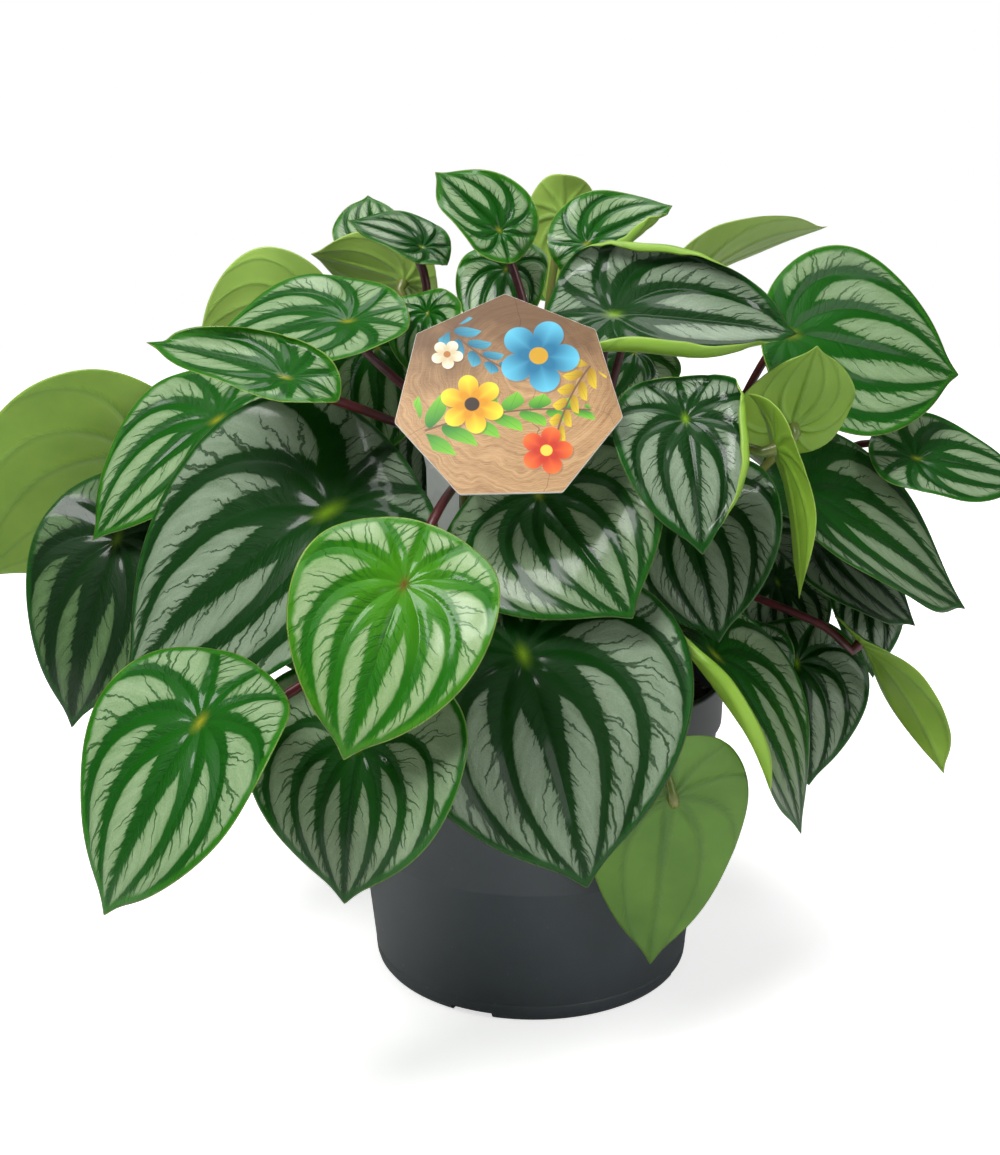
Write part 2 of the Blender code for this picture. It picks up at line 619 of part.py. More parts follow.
def stake_line():
    """Middle of the stake at its head, knee, elbow, neck and tip."""
    across, down = label_axes()
    facing = np.cross(down, across)
    behind = np.array(CARD_CENTRE) + across * STAKE_SIDEWAYS \
        - facing * (CARD_THICKNESS + GAP + STAKE_THICKNESS / 2)
    head, knee = behind + down * STAKE_HEAD, behind + down * STAKE_KNEE
    elbow, tip = np.array(STAKE_ELBOW), np.array(STAKE_TIP)
    neck = tip + (elbow - tip) / np.linalg.norm(elbow - tip) * STAKE_POINT
    return head, knee, elbow, neck, tip


def make_card():
    """The heptagonal card."""
    across, down = label_axes()
    facing = np.cross(down, across)
    points = []
    for depth in (0.0, CARD_THICKNESS):
        for index in range(CARD_SIDES):
            turn = 2 * math.pi * index / CARD_SIDES
            corner = CARD_R * (math.sin(turn) * across - math.cos(turn) * down)
            points.append(np.array(CARD_CENTRE) + corner - facing * depth)
    ring = range(CARD_SIDES)
    faces = [tuple(ring), tuple(reversed([index + CARD_SIDES for index in ring]))]
    for index in ring:
        follow = (index + 1) % CARD_SIDES
        faces.append((index, follow, follow + CARD_SIDES, index + CARD_SIDES))
    finish = material("label_print", (0.55, 0.35, 0.18), 0.35)
    return mesh_object("label_card", points, faces, finish, False)


def make_stake():
    """The flat stake: straight behind the card, bent back under it, pointed in the soil."""
    across, _ = label_axes()
    line = stake_line()
    points = []
    for row, middle in enumerate(line):
        before, after = line[max(row - 1, 0)], line[min(row + 1, len(line) - 1)]
        lengthwise = (before - after) / np.linalg.norm(before - after)
        thick = np.cross(lengthwise, across) * STAKE_THICKNESS / 2
        side = across * STAKE_WIDTH / 2
        if row == len(line) - 1:
            side = side * 0.15
        points += [middle - side - thick, middle + side - thick, middle + side + thick,
                   middle - side + thick]
    end = 4 * (len(line) - 1)
    faces = [(3, 2, 1, 0), (end, end + 1, end + 2, end + 3)]
    for base in range(0, end, 4):
        for corner in range(4):
            follow = (corner + 1) % 4
            faces.append((base + corner, base + follow, base + 4 + follow, base + 4 + corner))
    finish = material("stake_plastic", (0.75, 0.78, 0.80), 0.3)
    return mesh_object("label_stake", points, faces, finish, False)


def stalk_rings(leaf, controls):
    """Rings of points round a stalk, from the crown end to the blade."""
    path = curve_points(controls, STALK_RINGS)
    tip_way, left_way, up_way = blade_axes(leaf)
    across = tip_way
    rings = []
    for index in range(STALK_RINGS - 1, -1, -1):
        before = path[max(index - 1, 0)]
        after = path[min(index + 1, STALK_RINGS - 1)]
        way = (after - before) / np.linalg.norm(after - before)
        if index == STALK_RINGS - 1:
            way = up_way
        across = across - way * (across @ way)
        across /= np.linalg.norm(across)
        second = np.cross(way, across)
        share = index / (STALK_RINGS - 1)
        radius = STALK_BASE_R + (STALK_R - STALK_BASE_R) * min(1.0, share * 2)
        turns = 2 * math.pi * np.arange(STALK_SIDES) / STALK_SIDES
        ring = path[index] + radius * (np.cos(turns)[:, None] * across
                                       + np.sin(turns)[:, None] * second)
        rings.insert(0, ring)
    return rings


def blade_skin(leaf):
    """Points and triangles of the blade: the hub's vertex, then the upper and lower rings."""
    turns = 2 * math.pi * np.arange(SPOKES) / SPOKES
    hub_normal = blade_normals(leaf, np.zeros(1), np.zeros(1))[0]
    points = [np.array(leaf.hub, float) + hub_normal * BLADE_MIDDLE / 2]
    for side in (1, -1):
        for share in RINGS:
            shares = np.full(SPOKES, share)
            half = (BLADE_MIDDLE + (BLADE_RIM - BLADE_MIDDLE) * share ** 2) / 2
            points += list(blade_points(leaf, shares, turns)
                           + side * half * blade_normals(leaf, shares, turns))
    rows = len(RINGS)
    faces = []
    for index in range(SPOKES):
        follow = (index + 1) % SPOKES
        faces.append((0, 1 + index, 1 + follow))
        for row in range(rows - 1):
            a, b = 1 + row * SPOKES, 1 + (row + 1) * SPOKES
            faces += [(a + index, b + index, b + follow), (a + index, b + follow, a + follow)]
            a, b = a + rows * SPOKES, b + rows * SPOKES
            faces += [(a + index, b + follow, b + index), (a + index, a + follow, b + follow)]
        a, b = 1 + (rows - 1) * SPOKES, 1 + (2 * rows - 1) * SPOKES
        faces += [(a + index, b + index, b + follow), (a + index, b + follow, a + follow)]
    return points, faces


def leaf_solid(leaf, controls):
    """Points and faces of one leaf: blade and stalk as a single closed skin."""
    points, faces = blade_skin(leaf)
    first_ring = len(points)
    for ring in stalk_rings(leaf, controls):
        points += list(ring)
    for row in range(STALK_RINGS - 1):
        a, b = first_ring + row * STALK_SIDES, first_ring + (row + 1) * STALK_SIDES
        for index in range(STALK_SIDES):
            follow = (index + 1) % STALK_SIDES
            faces.append((a + index, a + follow, b + follow, b + index))
    faces.append(tuple(reversed(range(first_ring, first_ring + STALK_SIDES))))
    collar = first_ring + (STALK_RINGS - 1) * STALK_SIDES
    under = 1 + len(RINGS) * SPOKES
    for index in range(STALK_SIDES):
        follow = (index + 1) % STALK_SIDES
        outer, middle = under + 2 * index, under + 2 * index + 1
        faces.append((collar + index, middle, outer))
        faces.append((collar + index, collar + follow, middle))
        faces.append((collar + follow, under + 2 * follow, middle))
    return points, faces


def grow_leaves():
    """Settle every blade, then lead its stalk to a crown."""
    space = Space()
    space.take(pot_samples(), FIXED)
    space.take(label_samples(), FIXED)
    leaves = LEAVES + rear_leaves()
    for number, leaf in enumerate(leaves, 1):
        settle(leaf, space, number)
    routes = [stalk_route(leaf, space, number) for number, leaf in enumerate(leaves, 1)]
    return leaves, routes


def make_leaves():
    """All leaves as separate closed solids."""
    colours = {"leaf_mature": (0.05, 0.16, 0.04), "leaf_young": (0.22, 0.42, 0.08)}
    for leaf, route in zip(*grow_leaves()):
        if route is None:
            raise RuntimeError(f"the stalk of {leaf.name} finds no way")
        points, faces = leaf_solid(leaf, route)
        mesh_object(leaf.name, points, faces, material(leaf.tone, colours[leaf.tone], 0.35))


def main():
    """Clear the scene and build the potted plant."""
    for old in list(bpy.data.objects):
        bpy.data.objects.remove(old)
    make_pot()
    make_soil()
    make_crowns()
    make_card()
    make_stake()
    make_leaves()


if __name__ == "__main__":
    main()
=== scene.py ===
# %% [markdown]
# # A watermelon peperomia in its nursery pot
#
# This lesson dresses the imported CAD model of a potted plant: more than fifty striped leaves on
# red stalks, a dark plastic pot with soil in it, and a seven-sided picture card on a white stake.
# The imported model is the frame. It says where every piece is, and each new piece here is
# measured from the CAD piece that it stands for, so nothing has to be fitted by eye.

import math

import bmesh
import bpy
import numpy as np
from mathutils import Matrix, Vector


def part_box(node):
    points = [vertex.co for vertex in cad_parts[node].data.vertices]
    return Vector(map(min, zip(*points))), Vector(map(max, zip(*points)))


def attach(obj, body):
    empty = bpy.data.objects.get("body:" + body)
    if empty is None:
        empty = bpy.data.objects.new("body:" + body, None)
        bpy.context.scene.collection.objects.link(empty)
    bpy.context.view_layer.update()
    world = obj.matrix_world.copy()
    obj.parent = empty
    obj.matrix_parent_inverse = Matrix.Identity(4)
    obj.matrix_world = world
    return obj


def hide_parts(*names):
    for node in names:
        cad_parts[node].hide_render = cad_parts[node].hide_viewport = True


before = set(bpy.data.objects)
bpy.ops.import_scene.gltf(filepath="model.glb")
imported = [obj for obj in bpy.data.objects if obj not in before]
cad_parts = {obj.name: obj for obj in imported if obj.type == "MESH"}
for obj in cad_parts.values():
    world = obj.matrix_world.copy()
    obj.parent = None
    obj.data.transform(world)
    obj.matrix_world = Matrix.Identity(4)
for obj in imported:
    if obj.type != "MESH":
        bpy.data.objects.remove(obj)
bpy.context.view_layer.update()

# %% [markdown]
# The camera comes first, so that every later piece can be judged through it. It stands a short
# arm's length in front of the plant, a little above the leaves, and looks down by 13 degrees.
# A view transform of plain "Standard" keeps the greens as clear as they are under studio light.

# %% Camera
CAMERA_PLACE = (-0.010, -0.420, 0.220)      # metres
LOOK_DOWN = 13                              # degrees below level
SENSOR, FOCAL = 36, 43.45                   # millimetres


def new_object(name, data):
    """An object in the scene for a mesh, a camera or a light, at the origin."""
    made = bpy.data.objects.new(name, data)
    bpy.context.scene.collection.objects.link(made)
    return made


lens = bpy.data.cameras.new("studio_lens")
lens.sensor_width, lens.lens = SENSOR, FOCAL
camera = new_object("studio_camera", lens)
camera.location = CAMERA_PLACE
camera.rotation_euler = (math.radians(90 - LOOK_DOWN), 0, 0)
bpy.context.scene.camera = camera
bpy.context.scene.view_settings.view_transform = "Standard"
print("camera:", tuple(camera.location), "lens", lens.lens)

# %% [markdown]
# A plant shop's picture is lit from large soft boxes. One large light stands high at the left,
# a weaker one at the right, and one overhead puts a broad soft gloss on the leaves. The sky
# around is white where the camera sees it, but gives less light than it seems to, so that the
# gaps between the leaves stay deep and dark.

# %% Lights and sky
SOFT_BOXES = (          # name, place and target in metres, size in metres, watts
    ("key_light", (-0.50, -0.62, 1.00), (0, 0, 0.12), 0.45, 13),
    ("fill_light", (0.80, -0.75, 0.50), (0, 0, 0.12), 0.60, 3.5),
    ("top_light", (0.10, 0.10, 1.10), (0, 0, 0.15), 0.50, 5),
)
SKY_GLOW = 0.13         # light that the sky gives, where the camera sees it as 1


def soft_box(name, place, target, size, watts):
    """A square light at a place, turned towards a target."""
    lamp = bpy.data.lights.new(name, "AREA")
    lamp.size, lamp.energy = size, watts
    box = new_object(name, lamp)
    box.location = place
    away = np.array(place) - np.array(target)
    box.rotation_euler = (math.acos(away[2] / np.linalg.norm(away)), 0,
                          math.atan2(away[1], away[0]) + math.pi / 2)


for settings in SOFT_BOXES:
    soft_box(*settings)

sky = bpy.data.worlds.new("white_studio")
sky.use_nodes = True
bpy.context.scene.world = sky
glow = sky.node_tree.nodes["Background"]
seen = sky.node_tree.nodes.new("ShaderNodeBackground")
seen.inputs["Color"].default_value = (1, 1, 1, 1)
glow.inputs["Color"].default_value = (1, 1, 1, 1)
glow.inputs["Strength"].default_value = SKY_GLOW
choice = sky.node_tree.nodes.new("ShaderNodeMixShader")
rays = sky.node_tree.nodes.new("ShaderNodeLightPath")
for source, target in ((rays.outputs["Is Camera Ray"], choice.inputs[0]),
                       (glow.outputs[0], choice.inputs[1]), (seen.outputs[0], choice.inputs[2]),
                       (choice.outputs[0], sky.node_tree.nodes["World Output"].inputs["Surface"])):
    sky.node_tree.links.new(source, target)

# %% [markdown]
# Node trees are long to write out by hand, so a few small helpers do the wiring. A `Wire` is
# one value on its way through a tree: adding or multiplying two wires puts a Math node in the
# tree. With it, a pattern reads like the formula that it is. `paint` turns a colour as a screen
# shows it, 0 to 255, into the linear colour that a shader takes.

# %% Wires and colours
def paint(red, green, blue):
    """A screen colour as a linear colour with alpha."""
    linear = [((c / 255 + 0.055) / 1.055) ** 2.4 if c > 10 else c / 3295 for c in (red, green, blue)]
    return (*linear, 1.0)


class Wire:
    """One value running through a node tree. Arithmetic on wires adds Math nodes."""

    def __init__(self, tree, socket):
        self.tree, self.socket = tree, socket

    def math(self, operation, *others, clamp=False):
        node = self.tree.nodes.new("ShaderNodeMath")
        node.operation, node.use_clamp = operation, clamp
        for socket, value in zip(node.inputs, (self, *others)):
            join(self.tree, socket, value)
        return Wire(self.tree, node.outputs[0])

    def __add__(self, other):
        return self.math("ADD", other)

    def __radd__(self, other):
        return self.math("ADD", other)

    def __sub__(self, other):
        return self.math("SUBTRACT", other)

    def __rsub__(self, other):
        return (self * -1) + other

    def __mul__(self, other):
        return self.math("MULTIPLY", other)

    def __rmul__(self, other):
        return self.math("MULTIPLY", other)

    def __truediv__(self, other):
        return self.math("DIVIDE", other)

    def __rtruediv__(self, other):
        return (self ** -1) * other

    def __pow__(self, power):
        return self.math("POWER", power)

    def __abs__(self):
        return self.math("ABSOLUTE")

    def clamped(self):
        return self.math("ADD", 0.0, clamp=True)


def join(tree, socket, value):
    """Link a wire to a socket, or set a plain value on it."""
    if isinstance(value, Wire):
        tree.links.new(value.socket, socket)
    elif isinstance(value, bpy.types.NodeSocket):
        tree.links.new(value, socket)
    else:
        socket.default_value = value


print("a middle green as a shader takes it:", [round(c, 3) for c in paint(60, 120, 40)])

# %% [markdown]
# Placing a node and filling its inputs is the next step that repeats. Some nodes keep several
# sockets under one name, one for each kind of value, and only the one in use may be wired:
# `live` finds it. A group is a tree of its own with named inputs and outputs, and `new_tree`
# starts one.

# %% Place nodes and start groups
def live(sockets, name):
    """The socket of that name which the node's options leave in use."""
    return next(s for s in sockets if s.name == name and s.enabled)


def place(tree, kind, inputs=None, **settings):
    """Add a node, set its options, and fill its inputs by name or number."""
    node = tree.nodes.new(kind)
    for name, value in settings.items():
        setattr(node, name, value)
    for key, value in (inputs or {}).items():
        join(tree, live(node.inputs, key) if isinstance(key, str) else node.inputs[key], value)
    return node


def new_tree(name, kind, inputs, outputs):
    """A node group with named inputs and outputs, as (tree, its inputs as wires, its output node)."""
    tree = bpy.data.node_groups.new(name, kind)
    for label, socket_kind, value in inputs:
        socket = tree.interface.new_socket(label, in_out="INPUT", socket_type=socket_kind)
        if value is not None:
            socket.default_value = value
    for label, socket_kind in outputs:
        tree.interface.new_socket(label, in_out="OUTPUT", socket_type=socket_kind)
    entry = tree.nodes.new("NodeGroupInput")
    wires = {label: Wire(tree, entry.outputs[label]) for label, _, _ in inputs}
    return tree, wires, tree.nodes.new("NodeGroupOutput")


print("helpers ready: live, place, new_tree")

# %% [markdown]
# A few nodes turn up in nearly every pattern: a noise, a vector that is put together or taken
# apart, and a mix of two colours. They get short names here, so that the patterns stay readable.

# %% The usual nodes
def noise(tree, vector, scale, detail=2.0, roughness=0.5):
    """A Noise texture's value, 0 to 1, as a wire."""
    node = place(tree, "ShaderNodeTexNoise",
                 {"Vector": vector, "Scale": scale, "Detail": detail, "Roughness": roughness})
    return Wire(tree, node.outputs["Factor" if "Factor" in node.outputs else "Fac"])


def vector_of(tree, x, y, z=0.0):
    """Three wires or numbers as one vector."""
    return Wire(tree, place(tree, "ShaderNodeCombineXYZ", {0: x, 1: y, 2: z}).outputs[0])


def parts_of(tree, vector):
    """A vector's x, y and z as wires."""
    node = place(tree, "ShaderNodeSeparateXYZ", {0: vector})
    return [Wire(tree, socket) for socket in node.outputs]


def mixed(tree, share, first, second):
    """A colour between two colours."""
    node = place(tree, "ShaderNodeMix", {0: share, 6: first, 7: second}, data_type="RGBA")
    return Wire(tree, node.outputs[2])


print("helpers ready: noise, vector_of, parts_of, mixed")

# %% [markdown]
# The floor is a plain pale sheet, only there for the plant to stand on and to catch its shadow.
# To the camera it glows a little, as a bright shop table does, and the more the further out it
# is, so that it fades into the white.
#
# Every finish starts in the same way, so that start is a helper: a new material, its node tree,
# its Principled shader, and the object's own coordinates, on which the patterns are laid.

# %% Floor
FLOOR_REACH = 3                     # metres from the middle to an edge of the sheet
GLOW_NEAR, GLOW_MORE = 0.66, 0.5    # glow under the pot, and what is added far out


def new_material(name):
    """An empty node material: itself, its tree, its Principled shader and Object coordinates."""
    made = bpy.data.materials.new(name)
    made.use_nodes = True
    tree = made.node_tree
    return made, tree, tree.nodes["Principled BSDF"], place(tree, "ShaderNodeTexCoord").outputs["Object"]


def mesh_piece(name, points, faces, materials=()):
    """A mesh object at the origin, smooth all over."""
    mesh = bpy.data.meshes.new(name)
    mesh.from_pydata([tuple(p) for p in points], [], [tuple(f) for f in faces])
    mesh.validate()
    mesh.shade_smooth()
    for finish in materials:
        mesh.materials.append(finish)
    return new_object(name, mesh)


def floor_finish():
    """A pale matte sheet that glows to the camera."""
    made, tree, shader, where = new_material("pale_floor")
    shader.inputs["Roughness"].default_value = 0.8
    shader.inputs["Emission Color"].default_value = (1, 1, 1, 1)
    out = place(tree, "ShaderNodeVectorMath", {0: where}, operation="LENGTH").outputs["Value"]
    far = (Wire(tree, out) * 2.5 - 0.2).clamped()
    to_camera = Wire(tree, place(tree, "ShaderNodeLightPath").outputs["Is Camera Ray"])
    join(tree, shader.inputs["Emission Strength"], to_camera * (GLOW_NEAR + GLOW_MORE * far))
    join(tree, shader.inputs["Base Color"],
         mixed(tree, noise(tree, where, 3), paint(244, 244, 243), paint(250, 250, 249)))
    return made


corners = [(x * FLOOR_REACH, y * FLOOR_REACH, 0) for x, y in ((-1, -1), (1, -1), (1, 1), (-1, 1))]
floor = mesh_piece("floor", corners, [(0, 1, 2, 3)], [floor_finish()])
print("floor at z = 0")

# %% [markdown]
# ## The leaf pattern
#
# A peperomia leaf hangs on its stalk like a shield: the stalk meets the blade well inside its
# edge, and the veins start there and swing round to meet again at the tip. Along each vein runs
# a dark green band, and between the bands the blade is silver. Two angles describe that net: the
# one at which a point is seen from the stalk, and the one at which it is seen from the tip. A
# sum of both stays the same all along a vein, so it numbers the veins: 0 is the midrib, 1 the
# next vein to either side, and so on to 5 at the back.
#
# The blade's own flat map is used: the stalk is at (0, 0) and the tip at (1, 0).

# %% The vein rule
TIP_PULL, TIP_BEND = 1.0, 0.9       # how strongly the veins turn towards the tip
FAN, FAN_CROWD = 0.905, 0.045       # angle between veins, and how they crowd to the back


def vein_rule(x, y):
    """Vein number, distance from the nearest vein and from the stalk, on the flat map."""
    y = np.abs(y)
    reach, to_tip = np.hypot(x, y) + 1e-6, np.hypot(1 - x, y) + 1e-6
    at_stalk, at_tip = np.arctan2(y, x), np.arctan2(y, 1 - x)
    fan = at_stalk + TIP_PULL * at_tip + TIP_BEND * at_tip ** 2
    number = fan / FAN * (1 + FAN_CROWD * fan ** 2)
    bend = (TIP_PULL + 2 * TIP_BEND * at_tip) / to_tip
    slope = np.sqrt(reach ** -2 + bend ** 2 + 2 * bend / reach * np.cos(at_stalk + at_tip))
    slope = slope * (1 + 3 * FAN_CROWD * fan ** 2) / FAN
    return number, np.abs(number - np.round(number)) / slope, reach


print("a point half way to the tip, 0.2 to the side, lies at vein",
      round(float(vein_rule(np.array(0.5), np.array(0.2))[0]), 2))

# %% [markdown]
# The same rule goes into a shader group, because every leaf finish uses it. From the two angles
# it puts out only masks: the dark bands, the little veins that branch off them into the silver,
# the green margin, the pale edge, the spot over the stalk, a fine grain with lighter streaks along
# the veins that stand for painted highlight, and a height. Each finish then paints those masks in
# its own greens. Noise shifts the whole pattern a little, so that no two leaves match, and makes
# the bands' edges feathery, more so on their outer side.
# Lengths in the group are shares of the way from the stalk to the tip.

# %% Group: leaf bands
WANDER = 0.05                       # how far noise shifts the whole pattern
FEATHER, OUTER_FEATHER = 0.022, 0.040   # raggedness of a band, and what its outer side adds
MIDRIB_BOLD, BACK_THIN = 0.45, 0.09     # the midrib's band is wider, each further one narrower
LONG_VEINLETS = (1.5, 0.65, 1.5, 0.62, 0.0095, 0.0)    # see branches for what each one says
SHORT_VEINLETS = (3.2, 0.8, 1.0, 0.34, 0.0080, 0.7)
VEINLET_BLUR = 0.0035


def leaf_bands_group():
    """Masks of a leaf's markings from its flat map."""
    tree, given, out = new_tree(
        "Leaf bands", "ShaderNodeTree",
        [("Flat", "NodeSocketVector", None), ("Edge", "NodeSocketVector", None),
         ("Place", "NodeSocketVector", None), ("Band width", "NodeSocketFloat", 0.024),
         ("Star", "NodeSocketFloat", 0.15), ("Softness", "NodeSocketFloat", 0.007),
         ("Margin", "NodeSocketFloat", 1.8)],
        [("Bands", "NodeSocketFloat"), ("Veinlets", "NodeSocketFloat"), ("Margin", "NodeSocketFloat"),
         ("Edge", "NodeSocketFloat"), ("Spot", "NodeSocketFloat"), ("Grain and sheen", "NodeSocketFloat"),
         ("Reach", "NodeSocketFloat"), ("Height", "NodeSocketFloat")])
    x, across, _ = parts_of(tree, given["Flat"])
    rim, seed, _ = parts_of(tree, given["Edge"])
    side = across.math("SIGN")
    x = x + (noise(tree, given["Place"], 55, 1.0) - 0.5) * WANDER
    y = abs(across + (noise(tree, given["Place"], 38, 1.0) - 0.5) * WANDER)
    ahead = 1 - x
    reach = (x * x + y * y).math("SQRT").math("MAXIMUM", 0.004)
    to_tip = (ahead * ahead + y * y).math("SQRT").math("MAXIMUM", 0.004)
    at_stalk, at_tip = y.math("ARCTAN2", x), y.math("ARCTAN2", ahead)
    fan = at_stalk + at_tip * TIP_PULL + at_tip * at_tip * TIP_BEND
    crowd = fan * fan * FAN_CROWD
    number = fan / FAN * (crowd + 1)
    bend = (at_tip * (2 * TIP_BEND) + TIP_PULL) / to_tip
    turning = (reach ** -2 + bend * bend
               + bend / reach * (at_stalk + at_tip).math("COSINE") * 2).math("SQRT")
    slope = turning * (crowd * 3 + 1) / FAN
    nearest = number.math("ROUND")
    away = abs(number - nearest) / slope
    outer = ((number - nearest) * 30 + 0.5).clamped()
    along = reach.math("LOGARITHM", math.e) - to_tip.math("LOGARITHM", math.e) * TIP_PULL
    slant = along - fan * 1.5

    bold = 1 + MIDRIB_BOLD * (1 - nearest).clamped() - BACK_THIN * nearest.math("MINIMUM", 5.0)
    width = given["Band width"] * bold * (0.35 + 0.65 * (to_tip * 2.2).clamped())
    star = given["Star"] * (reach * -4.6).math("EXPONENT") * (0.66 + 0.34 * at_stalk.math("COSINE"))
    comb = vector_of(tree, slant * 7.5 + seed * 40, fan * 3.2, side * 3)
    feather = (noise(tree, comb, 1.0, 4.0, 0.7) - 0.5) * (FEATHER + OUTER_FEATHER * outer)
    bands = ((width + star - away + feather) / given["Softness"] + 0.5).clamped()

    patch = number.math("FLOOR")
    inside = number - patch
    wobble = (noise(tree, given["Place"], 170, 3.0, 0.6) - 0.5) * 1.1

    def branches(count, crowding, lean, length, thick, shift):
        """Little veins that leave a band towards the tip and the edge, and taper off.

        They are so many along the first band and so many more along each further one. They
        lean towards the tip, run some share of the way to the next band, and have a width.
        """
        count = count + patch * crowding
        lean = FAN * lean / (patch * 0.45 + 1)
        row = (along - inside * lean) * count + wobble + (seed * 9 + side * 0.31 + shift)
        cell = row.math("FLOOR")
        chance = place(tree, "ShaderNodeTexWhiteNoise",
                       {"Vector": vector_of(tree, cell, patch + shift, side * 5 + seed * 31)})
        chance = Wire(tree, chance.outputs["Value"])
        offset = abs(row - cell - 0.3 - chance * 0.4) / (count * turning)
        taper = (1 - inside / ((length + patch * 0.12) * (0.55 + chance * 0.9))).clamped()
        line = ((thick * taper ** 0.7 + feather * 0.10 - offset) / VEINLET_BLUR + 0.5).clamped()
        return line * (taper * 12).clamped() * (reach * 6 - 0.7).clamped()

    veinlets = branches(*LONG_VEINLETS).math("MAXIMUM", branches(*SHORT_VEINLETS))

    ragged = noise(tree, given["Place"], 260, 2.0)
    margin = ((given["Margin"] * (0.55 + ragged * 0.9) - rim) / 0.9 + 0.5).clamped()
    edge = ((0.42 - rim) / 0.25).clamped()
    spot = ((x * x * 0.3 + across * across).math("SQRT") * -46).math("EXPONENT")
    fine = noise(tree, given["Place"], 2600, 2.0, 0.7)
    streak = noise(tree, vector_of(tree, slant * 5 + seed * 9, fan * 2.5, side), 1.0, 4.0, 0.65)
    halo = ((away - width - star) * 34).clamped()
    # the silver's own fine grain, plus streaks along the veins that are painted highlight
    grain_and_sheen = (fine * 0.75 + streak * 0.9 - 0.50 + halo * 0.28).clamped()
    bulge = (away * 20).clamped()
    height = bulge * 0.8 + streak * 0.55 + fine * 0.16 - veinlets * 0.4 - bands * 0.1
    masks = {"Bands": bands, "Veinlets": veinlets, "Margin": margin, "Edge": edge, "Spot": spot,
             "Grain and sheen": grain_and_sheen, "Reach": reach, "Height": height}
    for label, wire in masks.items():
        join(tree, out.inputs[label], wire)
    return tree


leaf_bands = leaf_bands_group()
print("leaf bands group:", len(leaf_bands.nodes), "nodes")

# %% [markdown]
# Every finish ends in the same way, with a colour, a roughness and a small bump, and every leaf
# finish starts by placing the leaf bands group with its own sizes. These two steps are helpers.

# %% Helpers for finishes
def set_surface(tree, shader, colour, roughness, height, distance, strength):
    """Give a shader its colour, its roughness and a bump of some depth in metres."""
    join(tree, shader.inputs["Base Color"], colour)
    join(tree, shader.inputs["Roughness"], roughness)
    bump = place(tree, "ShaderNodeBump", {"Height": height, "Distance": distance,
                                          "Strength": strength})
    join(tree, shader.inputs["Normal"], bump.outputs[0])


def leaf_masks(tree, where, band_width, star, softness):
    """The leaf bands group in a finish, as its masks by name."""
    masks = place(tree, "ShaderNodeGroup", node_tree=leaf_bands)
    join(tree, masks.inputs["Flat"], place(tree, "ShaderNodeUVMap", uv_map="leaf_flat").outputs[0])
    join(tree, masks.inputs["Edge"], place(tree, "ShaderNodeUVMap", uv_map="leaf_edge").outputs[0])
    join(tree, masks.inputs["Place"], where)
    for label, value in (("Band width", band_width), ("Star", star), ("Softness", softness)):
        masks.inputs[label].default_value = value
    return {socket.name: Wire(tree, socket) for socket in masks.outputs}


print("helpers ready: set_surface, leaf_masks")

# %% [markdown]
# Young leaves are bright and their bands are soft and yellow-green near the stalk. Old leaves
# are deep green with a grey silver between thin bands. One leaf low in the shade has its greens
# painted darker still, as painted shade.
# The upper side is one shader: the silver and the bands mixed by the group's masks, under a thin
# waxy coat. The coat is what makes the broad soft gloss, and a bump from the group's height
# breaks it up into the fine quilting.

# %% Finishes: leaf tops
LEAF_TOPS = {   # bands, heart, silver, its dark, margin, edge, spot; band width, star, softness, roughness
    "young": (((26, 100, 0), (60, 128, 2), (148, 172, 126), (104, 146, 76), (56, 122, 14),
               (156, 182, 88), (110, 84, 30)), (0.029, 0.20, 0.012, 0.30)),
    "fresh": (((6, 74, 0), (14, 84, 2), (138, 162, 122), (84, 122, 66), (36, 104, 8),
               (134, 164, 74), (140, 146, 30)), (0.022, 0.17, 0.009, 0.34)),
    "mature": (((4, 62, 1), (6, 70, 2), (132, 153, 120), (84, 110, 72), (22, 86, 10),
                (110, 146, 66), (130, 152, 30)), (0.022, 0.18, 0.007, 0.34)),
    "dark": (((3, 50, 2), (5, 56, 3), (132, 150, 126), (78, 102, 70), (16, 74, 12),
              (86, 124, 60), (116, 156, 24)), (0.017, 0.18, 0.007, 0.34)),
    # painted shade: darker greens for a leaf that lies in the shade of the others
    "painted_shade": (((2, 36, 1), (4, 44, 2), (84, 112, 70), (40, 64, 32), (14, 66, 10),
                (80, 118, 54), (96, 130, 24)), (0.026, 0.22, 0.007, 0.34)),
}
WAX, WAX_ROUGHNESS = 0.26, 0.12     # the coat on a leaf's upper side
SHEEN_UNDER_WAX = 0.15              # specular level of the skin below the coat


def leaf_top(name, colours, sizes):
    """A leaf's upper side, painted in its own greens."""
    made, tree, shader, where = new_material(name)
    band, heart, silver, silver_dark, margin, edge, spot = [paint(*colour) for colour in colours]
    *pattern, rough = sizes
    mask = leaf_masks(tree, where, *pattern)
    blotch = noise(tree, where, 90, 2.0)
    green = mixed(tree, (mask["Reach"] * 2.4 - 0.25 + (blotch - 0.5) * 0.7).clamped(), heart, band)
    # the silver is lighter where this mask rises: its own fine grain, and painted highlight streaks along
    # the veins
    grey = mixed(tree, (mask["Grain and sheen"] * 1.25 + (blotch - 0.5) * 0.5).clamped(), silver_dark, silver)
    colour = mixed(tree, mask["Bands"], grey, green)
    for share, paler in ((mask["Veinlets"] * 0.85, band), (mask["Margin"], margin),
                         (mask["Edge"] * 0.8, edge), ((mask["Spot"] * 1.6 - 0.2).clamped(), spot)):
        colour = mixed(tree, share, colour, paler)
    shader.inputs["Coat Weight"].default_value = WAX
    shader.inputs["Coat Roughness"].default_value = WAX_ROUGHNESS
    shader.inputs["Specular IOR Level"].default_value = SHEEN_UNDER_WAX
    set_surface(tree, shader, colour, rough + 0.10 * blotch + 0.06 * mask["Bands"],
                mask["Height"], 0.0010, 0.65)
    return made


top_finishes = {age: leaf_top("leaf_top_" + age, *looks) for age, looks in LEAF_TOPS.items()}
print("leaf tops:", sorted(top_finishes))
